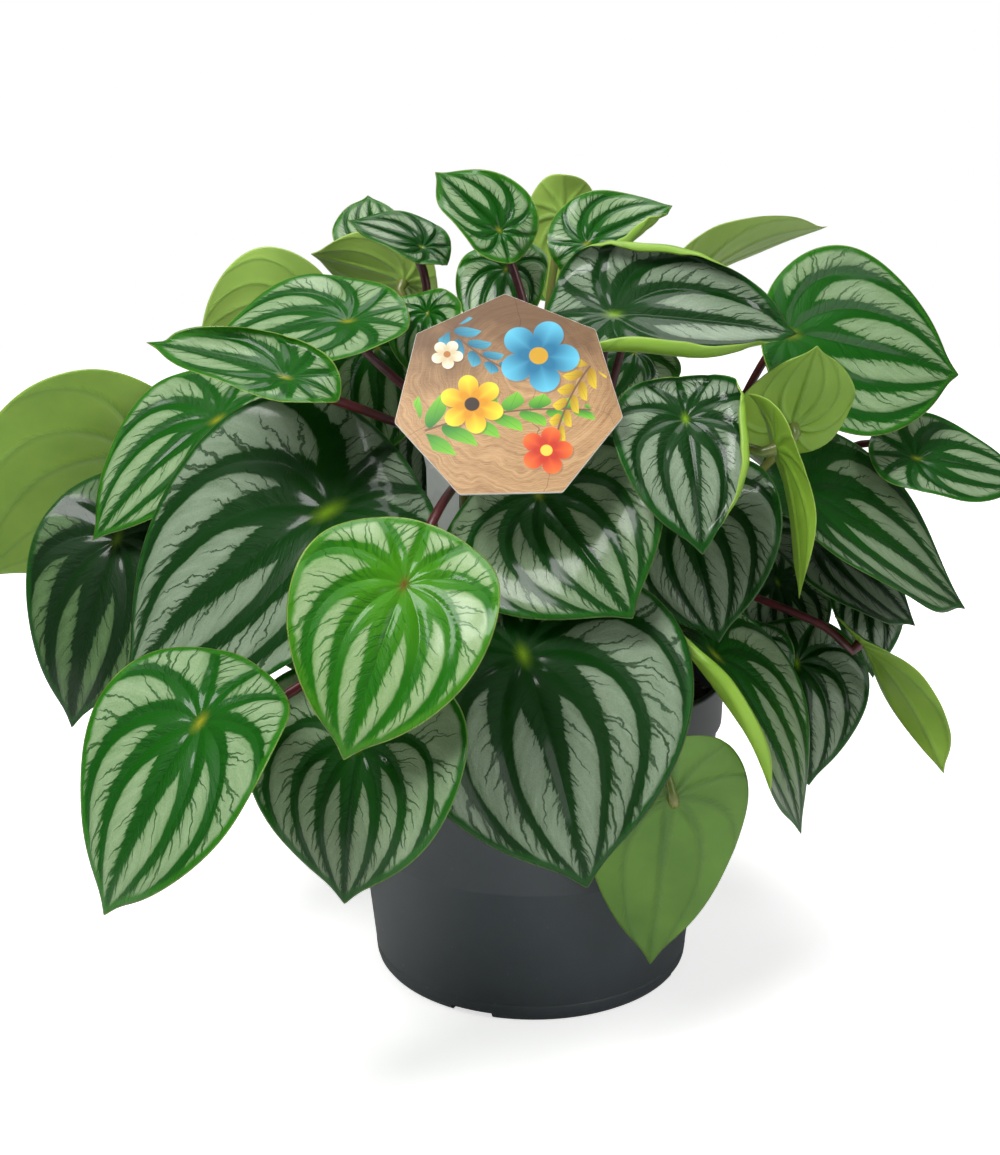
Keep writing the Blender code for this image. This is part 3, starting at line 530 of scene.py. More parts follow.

# %% [markdown]
# The underside is plain: a pale yellow-green, dull, with the veins only faintly darker. It needs
# the vein rule for those and for the soft ribs, but none of the silver. It comes in three
# brightnesses of the same colour, painted light and painted shade: pale and bright for leaves
# that catch more light, dull for the rest, which lie in more shade.

# %% Finishes: leaf undersides
# one underside colour at three brightnesses: pale and bright are painted light, dull is painted shade
LEAF_UNDERS = {     # body, its shade, ribs, edge
    "pale": ((168, 202, 92), (142, 180, 70), (112, 154, 54), (180, 206, 116)),
    "bright": ((140, 178, 56), (114, 155, 40), (92, 134, 32), (160, 186, 90)),
    "dull": ((100, 144, 38), (76, 120, 26), (60, 102, 22), (124, 158, 64)),
}
RIBS = (0.006, 0.03, 0.03)          # the ribs' band width, star and softness


def leaf_under(name, colours):
    """A leaf's underside."""
    made, tree, shader, where = new_material(name)
    body, shade, rib, edge = [paint(*colour) for colour in colours]
    mask = leaf_masks(tree, where, *RIBS)
    colour = mixed(tree, (noise(tree, where, 70, 3.0) * 1.6 - 0.4).clamped(), shade, body)
    colour = mixed(tree, mask["Bands"] * 0.55, colour, rib)
    colour = mixed(tree, mask["Edge"] * 0.6, colour, edge)
    set_surface(tree, shader, colour, 0.42 + 0.12 * mask["Grain and sheen"],
                mask["Bands"] + mask["Grain and sheen"] * 0.2, 0.0004, 0.5)
    return made


under_finishes = {kind: leaf_under("leaf_under_" + kind, looks) for kind, looks in LEAF_UNDERS.items()}
print("leaf undersides:", sorted(under_finishes))

# %% [markdown]
# The stalks are fleshy and waxy, most of them dark red and those of the palest leaves green.
# Long soft flecks of noise run from one shade to another.

# %% Finishes: stalks
def stalk_finish(name, low, high):
    """A waxy skin, from one colour to another in soft flecks."""
    made, tree, shader, where = new_material(name)
    fleck, fine = noise(tree, where, 140, 3.0, 0.6), noise(tree, where, 900, 2.0)
    shader.inputs["Coat Weight"].default_value = 0.2
    set_surface(tree, shader, mixed(tree, (fleck * 1.8 - 0.45).clamped(), low, high),
                0.32 + 0.15 * fine, fine, 0.0001, 0.6)
    return made


red_stalk = stalk_finish("stalk_red", paint(50, 10, 16), paint(96, 26, 36))
green_stalk = stalk_finish("stalk_green", paint(86, 116, 40), paint(128, 120, 62))
print("stalks:", red_stalk.name, green_stalk.name)

# %% [markdown]
# ## The leaves
#
# Every CAD leaf is a coarse solid: a hub point over the stalk, three rings of fourteen points
# out to the edge, the same three rings again underneath, and then the rings of the stalk. That
# is too coarse to show, but it holds the leaf's whole shape. This step reads the rings back, so
# that the fine leaf can be drawn over exactly the same curve in space.

# %% Rings of points in a CAD leaf
SPOKES = 14                         # points in each ring of a CAD leaf
WELD = 2e-6                         # metres; the loose triangles of a CAD node are merged at this


def joined_up(node):
    """Points of a CAD node, their normals and neighbours, with its loose triangles merged."""
    work = bmesh.new()
    work.from_mesh(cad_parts[node].data)
    bmesh.ops.remove_doubles(work, verts=work.verts, dist=WELD)
    work.normal_update()
    work.verts.ensure_lookup_table()
    points = np.array([v.co for v in work.verts])
    normals = np.array([v.normal for v in work.verts])
    near = [[edge.other_vert(v).index for edge in v.link_edges] for v in work.verts]
    work.free()
    return points, normals, near


def rings_from(hub, near):
    """Rings of points round the hub, each one edge further away than the last."""
    seen, ring, rings = {hub}, [hub], []
    while ring:
        rings.append(ring)
        ring = sorted({n for point in ring for n in near[point]} - seen)
        seen.update(ring)
    return rings


def in_order(ring, near):
    """The points of a closed ring in the order in which they follow each other."""
    order, left = [ring[0]], set(ring[1:])
    while left:
        following = next(n for n in near[order[-1]] if n in left)
        order.append(following)
        left.discard(following)
    return order


def lined_up(ring, near, points, expected):
    """The ring turned or reversed so that it lies closest to where it is expected."""
    order = in_order(ring, near)
    tries = [np.roll(way, shift) for way in (order, order[::-1]) for shift in range(SPOKES)]
    return min(tries, key=lambda way: ((points[way] - expected) ** 2).sum())


leaf_nodes = sorted(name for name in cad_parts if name.startswith("leaf_"))
print("CAD leaves:", len(leaf_nodes))

# %% [markdown]
# With the rings in order, a few measures say what flat blade was bent into this leaf: its length
# and width, and how far behind the stalk it still reaches, which is its lobe. The outline is an
# oval that narrows towards the tip, with a small drawn-out drip tip. Where the rings underneath
# match the ones on top, half way between the two is the blade's middle surface.

# %% Read a CAD leaf back
CAD_SHARES = (0.34, 0.68, 1.0)      # how far out from the hub its rings lie
DRIP = (0.05, 0.25)                 # the drawn-out tip: its extra length and its width
TAPER = 0.5                         # how much the outline narrows towards the tip
HALF_BLADE = 0.00055                # metres; half of a CAD blade's thickness at its hub
BROADSIDE = [2, 3, 4, 5, 9, 10, 11, 12]     # the spokes that point sideways and give the width


def outline(turn, lobe, width):
    """Edge of a flat blade one unit long, for a turn round it that starts at the tip."""
    from_tip = np.arctan2(np.sin(turn), np.cos(turn))
    along = 0.5 - lobe + 0.5 * np.cos(turn) + DRIP[0] * np.exp(-(from_tip / DRIP[1]) ** 2)
    crest = math.asin(math.sqrt((1 + TAPER) / (2 + TAPER)))
    widest = 2 * math.sin(crest) ** (1 + TAPER) * math.cos(crest)
    across = np.sin(turn) * np.abs(np.sin(turn / 2)) ** TAPER / widest
    return along, width / 2 * across


def read_leaf(node):
    """A CAD leaf's middle surface as rings, its flat measures, and the line of its stalk."""
    points, normals, near = joined_up(node)
    hub = next(i for i, n in enumerate(near) if len(n) == SPOKES)
    rings = rings_from(hub, near)
    first = in_order(rings[1], near)
    second = lined_up(rings[2], near, points, points[hub] + 2 * (points[first] - points[hub]))
    third = lined_up(rings[3], near, points, 2 * points[second] - points[first])
    spokes = np.array([np.repeat(hub, SPOKES), first, second, third])
    steps = np.linalg.norm(np.diff(points[spokes], axis=0), axis=2).sum(0)
    spokes = np.roll(spokes, -int(steps.argmax()), axis=1)
    leftward = np.cross(normals[hub], points[spokes[3, 0]] - points[hub])
    if (points[spokes[2, 3]] - points[hub]) @ leftward < 0:
        spokes = np.concatenate([spokes[:, :1], spokes[:, :0:-1]], axis=1)
    steps = np.linalg.norm(np.diff(points[spokes], axis=0), axis=2).sum(0)

    length = (steps[0] + steps[SPOKES // 2]) / (1 + DRIP[0])
    lobe = steps[SPOKES // 2] / length
    turns = 2 * np.pi * np.arange(SPOKES) / SPOKES
    along, across = outline(turns, lobe, 2.0)
    along, across = along[BROADSIDE], across[BROADSIDE]
    spare = np.clip((steps[BROADSIDE] / length) ** 2 - along ** 2, 0, None)
    width = 2 * math.sqrt((spare * across ** 2).sum() / (across ** 4).sum())

    middle = [points[hub] - HALF_BLADE * normals[hub]]
    for row, under in ((1, 6), (2, 5), (3, 4)):
        below = lined_up(rings[under], near, points, points[spokes[row]])
        middle.append((points[spokes[row]] + points[below]) / 2)
    stalk = [points[ring].mean(0) for ring in rings[:6:-1]]
    return {"rings": np.vstack(middle), "length": length, "lobe": lobe, "width": width,
            "stalk": np.array(stalk), "up": normals[hub]}


leaves = {name: read_leaf(name) for name in leaf_nodes}
for name in ("leaf_front_left_big", "leaf_front_young"):
    print(name, {key: round(float(leaves[name][key]), 4) for key in ("length", "lobe", "width")})

# %% [markdown]
# Between the rings, the surface is filled in as a thin steel sheet would do it: a thin-plate
# spline passes through all 43 points and bends as little as it can in between. It could be a
# subdivided mesh instead, but that would pull away from the points. This needs only numpy.

# %% A thin plate through a leaf's points
def plate_weights(flat, space):
    """Weights of the thin plate that takes each flat point to its point in space."""
    gap = np.linalg.norm(flat[:, None] - flat[None], axis=2)
    bend = gap ** 2 * np.log(gap + 1e-9)
    edge = np.column_stack([np.ones(len(flat)), flat])
    system = np.block([[bend, edge], [edge.T, np.zeros((3, 3))]])
    return np.linalg.solve(system, np.vstack([space, np.zeros((3, 3))]))


def on_plate(flat, knots, weights):
    """Points of the plate over flat points."""
    gap = np.linalg.norm(flat[:, None] - knots[None], axis=2)
    bend = gap ** 2 * np.log(gap + 1e-9)
    return bend @ weights[:-3] + np.column_stack([np.ones(len(flat)), flat]) @ weights[-3:]


square = np.array([(0, 0), (1, 0), (0, 1), (1, 1), (0.5, 0.5)])
raised = np.column_stack([square, [0, 0, 0, 0, 1]])
print("a plate raised by 1 in its middle stands at",
      round(float(on_plate(np.array([[0.5, 0.25]]), square, plate_weights(square, raised))[0, 2]), 2),
      "half way to its edge")

# %% [markdown]
# Six leaves have part of their rim rolled over, so that the pale underside shows as a bright
# strip. Each roll starts some way out from the stalk: from there on, the rows of the sheet are
# wound onto a circle that bends up and over, tightest in the middle of the roll.

# %% Roll a rim over
FINE_RINGS, FINE_SPOKES = 22, 128
ROLLED = {      # rolls: middle and reach in degrees round the leaf, starting share, bend in degrees
    "leaf_long_boat": ((88, 78, 0.78, 165), (-85, 70, 0.84, 120)),
    "leaf_front_rolled": ((75, 70, 0.84, 170), (180, 50, 0.80, 150)),
    "leaf_front_right_tall": ((-110, 60, 0.86, 150),),
    "leaf_top_right": ((-85, 65, 0.76, 160),),
    "leaf_left_folded": ((-90, 70, 0.80, 120),),
    "leaf_right_big": ((-150, 40, 0.88, 140),),
}


def rolled_up(points, normals, turns, shares, rolls):
    """Roll a sheet's rim over: each roll has a middle, a reach, a starting share and an angle."""
    grid = points[1:].reshape(FINE_RINGS, FINE_SPOKES, 3)
    facing = normals[1:].reshape(FINE_RINGS, FINE_SPOKES, 3)
    for middle, reach, start, angle in rolls:
        first = int(np.searchsorted(shares, start))
        away = np.abs((np.degrees(turns) - middle + 180) % 360 - 180) / reach
        weight = np.clip(1 - away ** 2, 0, 1)[:, None]
        fold, out = grid[first], grid[first + 1] - grid[first - 1]
        out = out / np.linalg.norm(out, axis=1, keepdims=True)
        up = facing[first] - (facing[first] * out).sum(1, keepdims=True) * out
        up = up / np.linalg.norm(up, axis=1, keepdims=True)
        steps = np.linalg.norm(np.diff(grid[first:], axis=0), axis=2)[..., None]
        curve = np.maximum(weight * math.radians(angle), 1e-3) / steps.sum(0)
        run = np.zeros_like(weight)
        for row, step in enumerate(steps, first + 1):
            run = run + step
            rolled = fold + out * np.sin(curve * run) / curve + up * (1 - np.cos(curve * run)) / curve
            share = np.clip(weight * 4, 0, 1)
            grid[row] = grid[row] * (1 - share) + rolled * share
    return points


print("leaves with rolled rims:", len(ROLLED))

# %% [markdown]
# The fine sheet gets what the coarse one lacks: a dimple over the stalk, sunken veins with the
# silver puffed up between them, a slightly wavy edge, and the rolled rims. A displacement in the
# material could fake the veins, but only points that really move show in the leaf's outline.

# %% Draw the fine sheet of a leaf
RIM_CROWD = 1.25                    # how much closer the rings stand near the rim
VEIN_DEPTH, VEIN_WIDE = 0.00055, 0.022      # metres; share of the way from stalk to tip
DIMPLE_DEPTH, DIMPLE_WIDE = 0.0013, 0.10
WAVE, WAVES = 0.0009, 5             # height of the edge's waves in metres, and how many go round
NUDGE = 0.004                       # step on the flat map from which the slope is taken


def rim_and_rings(leaf, count, shares, scale):
    """A blade's flat rim at so many spokes, and its hub and rings at some shares of it."""
    turns = 2 * np.pi * np.arange(count) / count
    rim = np.column_stack(outline(turns, leaf["lobe"], leaf["width"])) * scale
    return turns, rim, np.vstack([np.zeros((1, 2))] + [rim * share for share in shares])


def fine_sheet(leaf, seed, rolls):
    """A leaf's fine middle surface: points, flat map, edge distance and share of the way out."""
    reach = leaf["length"] * (1 + DRIP[0] - leaf["lobe"])
    scale = leaf["length"] / reach
    knots = rim_and_rings(leaf, SPOKES, CAD_SHARES, scale)[2]
    weights = plate_weights(knots, leaf["rings"])

    shares = 1 - (1 - np.arange(1, FINE_RINGS + 1) / FINE_RINGS) ** RIM_CROWD
    turns, rim, flat = rim_and_rings(leaf, FINE_SPOKES, shares, scale)
    share = np.concatenate([[0.0], np.repeat(shares, FINE_SPOKES)])
    turn = np.concatenate([[0.0], np.tile(turns, FINE_RINGS)])
    near_edge = np.linalg.norm(flat[:, None] - rim[None], axis=2).min(1) * reach * 1000
    near_edge[-FINE_SPOKES:] = 0

    points = on_plate(flat, knots, weights)
    run, span = [on_plate(flat + nudge, knots, weights) - on_plate(flat - nudge, knots, weights)
                 for nudge in (np.array([NUDGE, 0]), np.array([0, NUDGE]))]
    normals = np.cross(run, span)
    normals /= np.linalg.norm(normals, axis=1, keepdims=True)
    _, away, from_stalk = vein_rule(flat[:, 0], flat[:, 1])
    inner = np.clip(1.25 - share, 0, 1) * np.clip(from_stalk * 5, 0, 1)
    lift = -VEIN_DEPTH * np.exp(-(away / VEIN_WIDE) ** 2) * inner
    lift -= DIMPLE_DEPTH * np.exp(-(from_stalk / DIMPLE_WIDE) ** 2)
    lift += WAVE * share ** 4 * np.sin(WAVES * turn + seed * 40) * np.sin(turn / 2)
    points = rolled_up(points + normals * lift[:, None], normals, turns, shares, rolls)
    return points, flat, near_edge, share


print("edge waves:", WAVES, "round a leaf, of up to", WAVE * 1000, "mm")

# %% [markdown]
# Now the points become a mesh: a fan of triangles round the hub, and rows of quads out to the
# edge. The mesh carries two maps: the flat place of every point, for the pattern, and its
# distance from the edge in millimetres, next to the leaf's seed. An attribute keeps the share
# of the way out, because the blade gets thinner towards its rim.

# %% Make the sheet a mesh
def sheet_mesh(name, leaf, seed, rolls=()):
    """The fine sheet as a mesh with its two maps and the share of the way out on each point."""
    points, flat, near_edge, share = fine_sheet(leaf, seed, rolls)
    faces = [(0, 1 + i, 1 + (i + 1) % FINE_SPOKES) for i in range(FINE_SPOKES)]
    for row in range(FINE_RINGS - 1):
        inner, outer = 1 + row * FINE_SPOKES, 1 + (row + 1) * FINE_SPOKES
        for i in range(FINE_SPOKES):
            j = (i + 1) % FINE_SPOKES
            faces.append((inner + i, outer + i, outer + j, inner + j))
    sheet = mesh_piece(name, points, faces)
    corners = np.empty(len(sheet.data.loops), int)
    sheet.data.loops.foreach_get("vertex_index", corners)
    maps = {"leaf_flat": flat, "leaf_edge": np.column_stack([near_edge, np.full(len(flat), seed)])}
    for label, values in maps.items():
        layer = sheet.data.uv_layers.new(name=label)
        layer.data.foreach_set("uv", values[corners].astype(np.float32).ravel())
    sheet.data.attributes.new("leaf_share", "FLOAT", "POINT").data.foreach_set(
        "value", share.astype(np.float32))
    return sheet


print("fine sheet:", 1 + FINE_RINGS * FINE_SPOKES, "points")

# %% [markdown]
# A Geometry Nodes tree works on a piece as a modifier. Its inputs are set by their identifiers,
# before Blender first works the piece out. What comes out is copied into a plain mesh, and the
# piece that went in is removed, so that nothing is left to be worked out again.

# %% Put a piece through a node tree
def run_tree(tree, piece, values, name):
    """Put a piece through a node tree and return the result as a new plain mesh."""
    modifier = piece.modifiers.new("shape", "NODES")
    modifier.node_group = tree
    for socket in tree.interface.items_tree:
        if socket.item_type == "SOCKET" and socket.in_out == "INPUT" and socket.name in values:
            modifier[socket.identifier] = values[socket.name]
    bpy.context.view_layer.update()
    evaluated = piece.evaluated_get(bpy.context.evaluated_depsgraph_get())
    mesh = bpy.data.meshes.new_from_object(evaluated)
    mesh.name = name
    bpy.data.objects.remove(piece)
    return mesh


print("helper ready: run_tree")

# %% [markdown]
# A sheet becomes a blade in Geometry Nodes. The tree makes two copies of it, moves one up and
# one down along the normal, flips the lower one, and welds them at the rim, where the thickness
# runs out to nothing. Nodes suit this because the same few steps serve all leaves, and the
# thickness stays an input. The upper and the lower side get their own finishes at the end.

# %% Geometry Nodes: leaf blade
def blade_tree():
    """Thicken a sheet into a closed blade with different finishes above and below."""
    tree, given, out = new_tree(
        "Leaf blade", "GeometryNodeTree",
        [("Geometry", "NodeSocketGeometry", None), ("Middle thickness", "NodeSocketFloat", 0.0009),
         ("Rim thickness", "NodeSocketFloat", 0.0005), ("Top finish", "NodeSocketMaterial", None),
         ("Under finish", "NodeSocketMaterial", None)],
        [("Geometry", "NodeSocketGeometry")])
    share = place(tree, "GeometryNodeInputNamedAttribute", {"Name": "leaf_share"}, data_type="FLOAT")
    share = Wire(tree, live(share.outputs, "Attribute"))
    rim, middle = given["Rim thickness"], given["Middle thickness"]
    half = (middle + (rim - middle) * share * share) * 0.5 * (1 - share ** 14).math("SQRT")
    normal = place(tree, "GeometryNodeInputNormal").outputs["Normal"]
    sides = []
    for sign in (1, -1):
        shift = place(tree, "ShaderNodeVectorMath", {0: normal, "Scale": half * sign},
                      operation="SCALE")
        moved = place(tree, "GeometryNodeSetPosition",
                      {"Geometry": given["Geometry"], "Offset": shift.outputs[0]})
        side = moved if sign > 0 else place(tree, "GeometryNodeFlipFaces", {"Mesh": moved.outputs[0]})
        sides.append(place(tree, "GeometryNodeStoreNamedAttribute",
                           {"Geometry": side.outputs[0], "Name": "leaf_upper", "Value": sign > 0},
                           data_type="BOOLEAN", domain="FACE").outputs[0])
    both = place(tree, "GeometryNodeJoinGeometry")
    for side in sides:
        tree.links.new(side, both.inputs[0])
    welded = place(tree, "GeometryNodeMergeByDistance",
                   {"Geometry": both.outputs[0], "Distance": 0.000001})
    real = place(tree, "GeometryNodeRealizeInstances", {"Geometry": welded.outputs[0]})
    upper = place(tree, "GeometryNodeInputNamedAttribute", {"Name": "leaf_upper"},
                  data_type="BOOLEAN")
    under = place(tree, "GeometryNodeSetMaterial",
                  {"Geometry": real.outputs[0], "Material": given["Under finish"]})
    top = place(tree, "GeometryNodeSetMaterial",
                {"Geometry": under.outputs[0], "Selection": live(upper.outputs, "Attribute"),
                 "Material": given["Top finish"]})
    join(tree, out.inputs[0], top.outputs[0])
    return tree


blade = blade_tree()
print("leaf blade tree:", len(blade.nodes), "nodes")

# %% [markdown]
# The stalk follows a path, which is the other thing that nodes are good at. The path comes from
# the CAD stalk's rings. The tree rounds it with a Catmull-Rom curve, sets its radius from the
# foot to the neck, lets it flare where it meets the blade, and sweeps a circle along it.

# %% Geometry Nodes: stalk
def stalk_tree():
    """Sweep a tapered tube along a path, with a small flare at its upper end."""
    tree, given, out = new_tree(
        "Leaf stalk", "GeometryNodeTree",
        [("Geometry", "NodeSocketGeometry", None), ("Foot radius", "NodeSocketFloat", 0.0016),
         ("Neck radius", "NodeSocketFloat", 0.0012), ("Flare", "NodeSocketFloat", 0.0006),
         ("Sides", "NodeSocketInt", 12), ("Finish", "NodeSocketMaterial", None)],
        [("Geometry", "NodeSocketGeometry")])
    curve = place(tree, "GeometryNodeMeshToCurve", {0: given["Geometry"]})
    smooth = place(tree, "GeometryNodeCurveSplineType", {"Curve": curve.outputs[0]},
                   spline_type="CATMULL_ROM")
    steps = place(tree, "GeometryNodeSetSplineResolution", {"Geometry": smooth.outputs[0],
                                                            "Resolution": 5})
    even = place(tree, "GeometryNodeResampleCurve", {"Curve": steps.outputs[0], "Count": 36})
    share = Wire(tree, place(tree, "GeometryNodeSplineParameter").outputs["Factor"])
    radius = given["Foot radius"] + (given["Neck radius"] - given["Foot radius"]) \
        * (share * 2).clamped() + given["Flare"] * ((1 - share) * -30).math("EXPONENT")
    circle = place(tree, "GeometryNodeCurvePrimitiveCircle", {"Resolution": given["Sides"],
                                                              "Radius": 1.0})
    tube = place(tree, "GeometryNodeCurveToMesh", {"Curve": even.outputs[0],
                                                   "Profile Curve": circle.outputs[0],
                                                   "Scale": radius, "Fill Caps": True})
    soft = place(tree, "GeometryNodeSetShadeSmooth", {"Geometry": tube.outputs[0]})
    real = place(tree, "GeometryNodeRealizeInstances", {"Geometry": soft.outputs[0]})
    done = place(tree, "GeometryNodeSetMaterial", {"Geometry": real.outputs[0],
                                                   "Material": given["Finish"]})
    join(tree, out.inputs[0], done.outputs[0])
    return tree


stalk = stalk_tree()
print("leaf stalk tree:", len(stalk.nodes), "nodes")

# %% [markdown]
# Which top a leaf takes depends on its age: one bright young leaf hangs in front, fresh ones
# stand at the top and the left, and the oldest and darkest are the large ones low down. One leaf
# low at the left takes darker greens for the shade it lies in, which is painted shade. Which
# underside it takes is painted light and painted shade: the paler ones go to leaves that catch
# more light. Leaves that no list names are mature on top and dull below, and their stalks are red.

# %% Sort the leaves by their finish
AGES = {
    "young": ("leaf_front_young",),
    "fresh": ("leaf_left_folded", "leaf_upper_left", "leaf_left", "leaf_right_big", "leaf_top_cup",
              "leaf_top_right", "leaf_top_left_small", "leaf_top_upright", "leaf_behind_card",
              "leaf_low_left", "leaf_right_upright", "leaf_right_narrow", "leaf_front_pale",
              "leaf_right_edge_on", "leaf_inner_left", "leaf_by_card", "leaf_rear_top_1",
              "leaf_rear_middle_2", "leaf_rear_middle_4", "leaf_rear_low_3"),
    "dark": ("leaf_front_left_big", "leaf_front_low", "leaf_front_rolled", "leaf_front_right_dark",
             "leaf_long_boat", "leaf_under_front_right", "leaf_under_right", "leaf_shade_low_right",
             "leaf_shade_right", "leaf_shade_left", "leaf_lower_right", "inner_leaf_front",
             "inner_leaf_low_left", "inner_leaf_low_right", "leaf_rear_low_2", "leaf_rear_low_5",
             "leaf_rear_middle_3"),
    # painted shade on this leaf's top, for the shade it lies in
    "painted_shade": ("leaf_left_dark",),
}
# undersides painted lighter for leaves that catch more light; all others take dull, painted shade
PAINTED_LIGHT_UNDERSIDES = {
    "pale": ("leaf_back_pale", "leaf_back_left_pale", "leaf_top_upright", "leaf_right_edge_on"),
    "bright": ("leaf_far_left", "leaf_right_upright", "leaf_right_narrow", "leaf_right_twisted",
               "leaf_front_young", "leaf_long_boat", "leaf_front_rolled", "leaf_front_right_tall",
               "leaf_top_right", "leaf_left_folded", "leaf_right_big"),
}
GREEN_STALKS = ("leaf_front_pale", "leaf_right_upright", "leaf_back_pale", "leaf_back_left_pale",
                "leaf_top_upright", "leaf_right_narrow", "leaf_by_card")


def kind_of(name, kinds, usual):
    """The kind of finish a leaf takes: the one that lists its name, or else the usual one."""
    return next((kind for kind, names in kinds.items() if name in names), usual)


for kind in ("young", "fresh", "mature", "dark", "painted_shade"):
    print(kind, sum(kind_of(name, AGES, "mature") == kind for name in leaf_nodes), "CAD leaves")

# %% [markdown]
# Now every leaf can grow. Its stalk starts a little way inside the crown and ends just below the
# dimple, square to the blade. Blade and stalk become one mesh with three finishes, because a leaf
# grows as one piece. Each leaf gets its own seed, so that its pattern is its own.

# %% Grow the leaves
ROOT_DEPTH = 0.0025                 # metres that a stalk reaches into its crown
NECK_LONG, NECK_GAP = 0.0030, 0.0003    # the straight neck below the blade, and its air below the dimple
SEED_STEP = 0.381966                # seeds this far apart never bunch up


def stalk_mesh(name, leaf, finish):
    """The stalk's mesh, from a little way inside the crown up to the blade."""
    path = leaf["stalk"]
    way = path[0] - path[1]
    foot = path[0] + way / np.linalg.norm(way) * ROOT_DEPTH
    neck = leaf["rings"][0] - (DIMPLE_DEPTH + NECK_GAP) * leaf["up"]
    path = np.vstack([foot, path[:-1], neck - NECK_LONG * leaf["up"], neck])
    line = bpy.data.meshes.new(name)
    line.from_pydata([tuple(p) for p in path], [(i, i + 1) for i in range(len(path) - 1)], [])
    return run_tree(stalk, new_object(name, line), {"Finish": finish}, name)


def grow_leaf(number, name):
    """One leaf, from its CAD node to a finished piece."""
    leaf = leaves[name]
    seed = (number * SEED_STEP) % 1.0
    top = top_finishes[kind_of(name, AGES, "mature")]
    under = under_finishes[kind_of(name, PAINTED_LIGHT_UNDERSIDES, "dull")]
    body = run_tree(blade, sheet_mesh(name + "_sheet", leaf, seed, ROLLED.get(name, ())),
                    {"Top finish": top, "Under finish": under}, name + "_grown")
    skin = green_stalk if name in GREEN_STALKS else red_stalk
    stem = stalk_mesh(name + "_stalk", leaf, skin)
    finishes = [top, under, skin]
    work = bmesh.new()
    for mesh in (body, stem):
        before = len(work.faces)
        work.from_mesh(mesh)
        work.faces.ensure_lookup_table()
        for face in work.faces[before:]:
            face.material_index = finishes.index(mesh.materials[face.material_index])
    body.materials.clear()
    for finish in finishes:
        body.materials.append(finish)
    work.to_mesh(body)
    work.free()
    body.shade_smooth()
    grown = new_object(name + "_grown", body)
    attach(grown, "root")
    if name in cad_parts:
        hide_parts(name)


for number, name in enumerate(leaf_nodes):
    grow_leaf(number, name)
print("leaves:", len(leaf_nodes))

# %% [markdown]
# Deep inside, a real plant has more leaves than can be counted from outside, and they keep the
# gaps dark. A few are added here as twins of CAD leaves: the rings of a leaf are turned, scaled
# and moved to a new hub, and a new stalk is led from there down to the soil between the crowns.

# %% Add the inner leaves
INNER_LEAVES = {        # twin of, hub in metres, turn about Z in degrees, size
    "inner_leaf_front": ("leaf_left_dark", (-0.0315, -0.0247, 0.1758), 55, 0.49),
    "inner_leaf_low_left": ("leaf_shade_right", (-0.066, -0.052, 0.136), 0, 0.95),
    "inner_leaf_right": ("leaf_front_left_big", (0.0316, 0.0119, 0.1918), 28, 0.44),
    "inner_leaf_low_right": ("leaf_rear_low_3", (0.0534, -0.0090, 0.1476), 20, 0.58),
}
FOOT_SHARE, FOOT_HIGH = 0.25, 0.087     # how far out its stalk's foot stands, and its height
STEEP, LAST_STRETCH = 0.45, 0.02        # how straight up the stalk starts, and ends square to the blade


def twin_of(leaf, hub, turn, size):
    """A copy of a leaf's measures, turned about Z, scaled, and moved to a new hub."""
    c, s = math.cos(math.radians(turn)), math.sin(math.radians(turn))
    spin = np.array([[c, -s, 0], [s, c, 0], [0, 0, 1]])
    hub = np.array(hub)
    up = spin @ leaf["up"]
    rings = (leaf["rings"] - leaf["rings"][0]) @ spin.T * size + hub
    foot = np.array([hub[0] * FOOT_SHARE, hub[1] * FOOT_SHARE, FOOT_HIGH])
    share = np.linspace(0, 1, 8)[:, None]
    bows = foot + [0, 0, STEEP * (hub[2] - foot[2])], hub - LAST_STRETCH * up
    path = (1 - share) ** 3 * foot + 3 * (1 - share) ** 2 * share * bows[0] \
        + 3 * (1 - share) * share ** 2 * bows[1] + share ** 3 * hub
    return dict(leaf, rings=rings, up=up, length=leaf["length"] * size, stalk=path)


for number, (name, (twin, *where)) in enumerate(INNER_LEAVES.items(), len(leaf_nodes)):
    leaves[name] = twin_of(leaves[twin], *where)
    grow_leaf(number, name)
print("inner leaves:", len(INNER_LEAVES))

# %% [markdown]
# ## The pot
#
# A nursery pot is thin moulded plastic: a sloping wall, a stepped collar under the rim, a raised
# floor with drain holes and small notches in the foot, so that water can run out. It is a shape
# turned about its axis, so its profile is drawn once and turned. Its small radii are drawn into
# the profile, which spares a bevel. The holes and notches are cut afterwards.

# %% Turn the pot
MM = 0.001
pot_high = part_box("pot")[1]
RIM, HEIGHT, WALL = pot_high[0] / MM, pot_high[2] / MM, 1.3
POT_PROFILE = [     # radius and height in millimetres: floor, foot, wall, collar, rim, and back inside
    (0, 0), (13.6, 0), (14.2, 0.3), (16, 2.3), (16.6, 2.6), (38.4, 2.6), (39, 2.3), (40.6, 0.3),
    (41.2, 0), (47.4, 0), (48.3, 0.15), (49.1, 0.7), (49.7, 1.5), (50.05, 2.6), (50.3, 4.8),
    (50.25, 5.2), (50.12, 5.5), (50.3, 5.8), (54.2, 42.0), (54.35, 42.2), (54.4, 42.8), (58.15, 79.2),
    (58.3, 79.6), (59.0, 79.85), (59.3, 80.2), (59.37, 81), (RIM - 0.35, 93.0), (RIM, 93.6),
    (RIM, 94.4), (RIM - 0.2, 94.85), (RIM - 0.6, HEIGHT), (RIM - 1.2, HEIGHT), (RIM - 1.5, 94.7),
    (RIM - 1.65, 94.2), (59.3 - WALL, 81.2), (57.4, 80.5), (56.9, 80), (56.8, 79.2), (48.8, 7),
    (48.3, 5), (47.2, 4.1), (46, 3.9), (16.8, 3.9), (16.2, 3.7), (14.8, 1.8), (14, 1.5), (0, 1.5)]


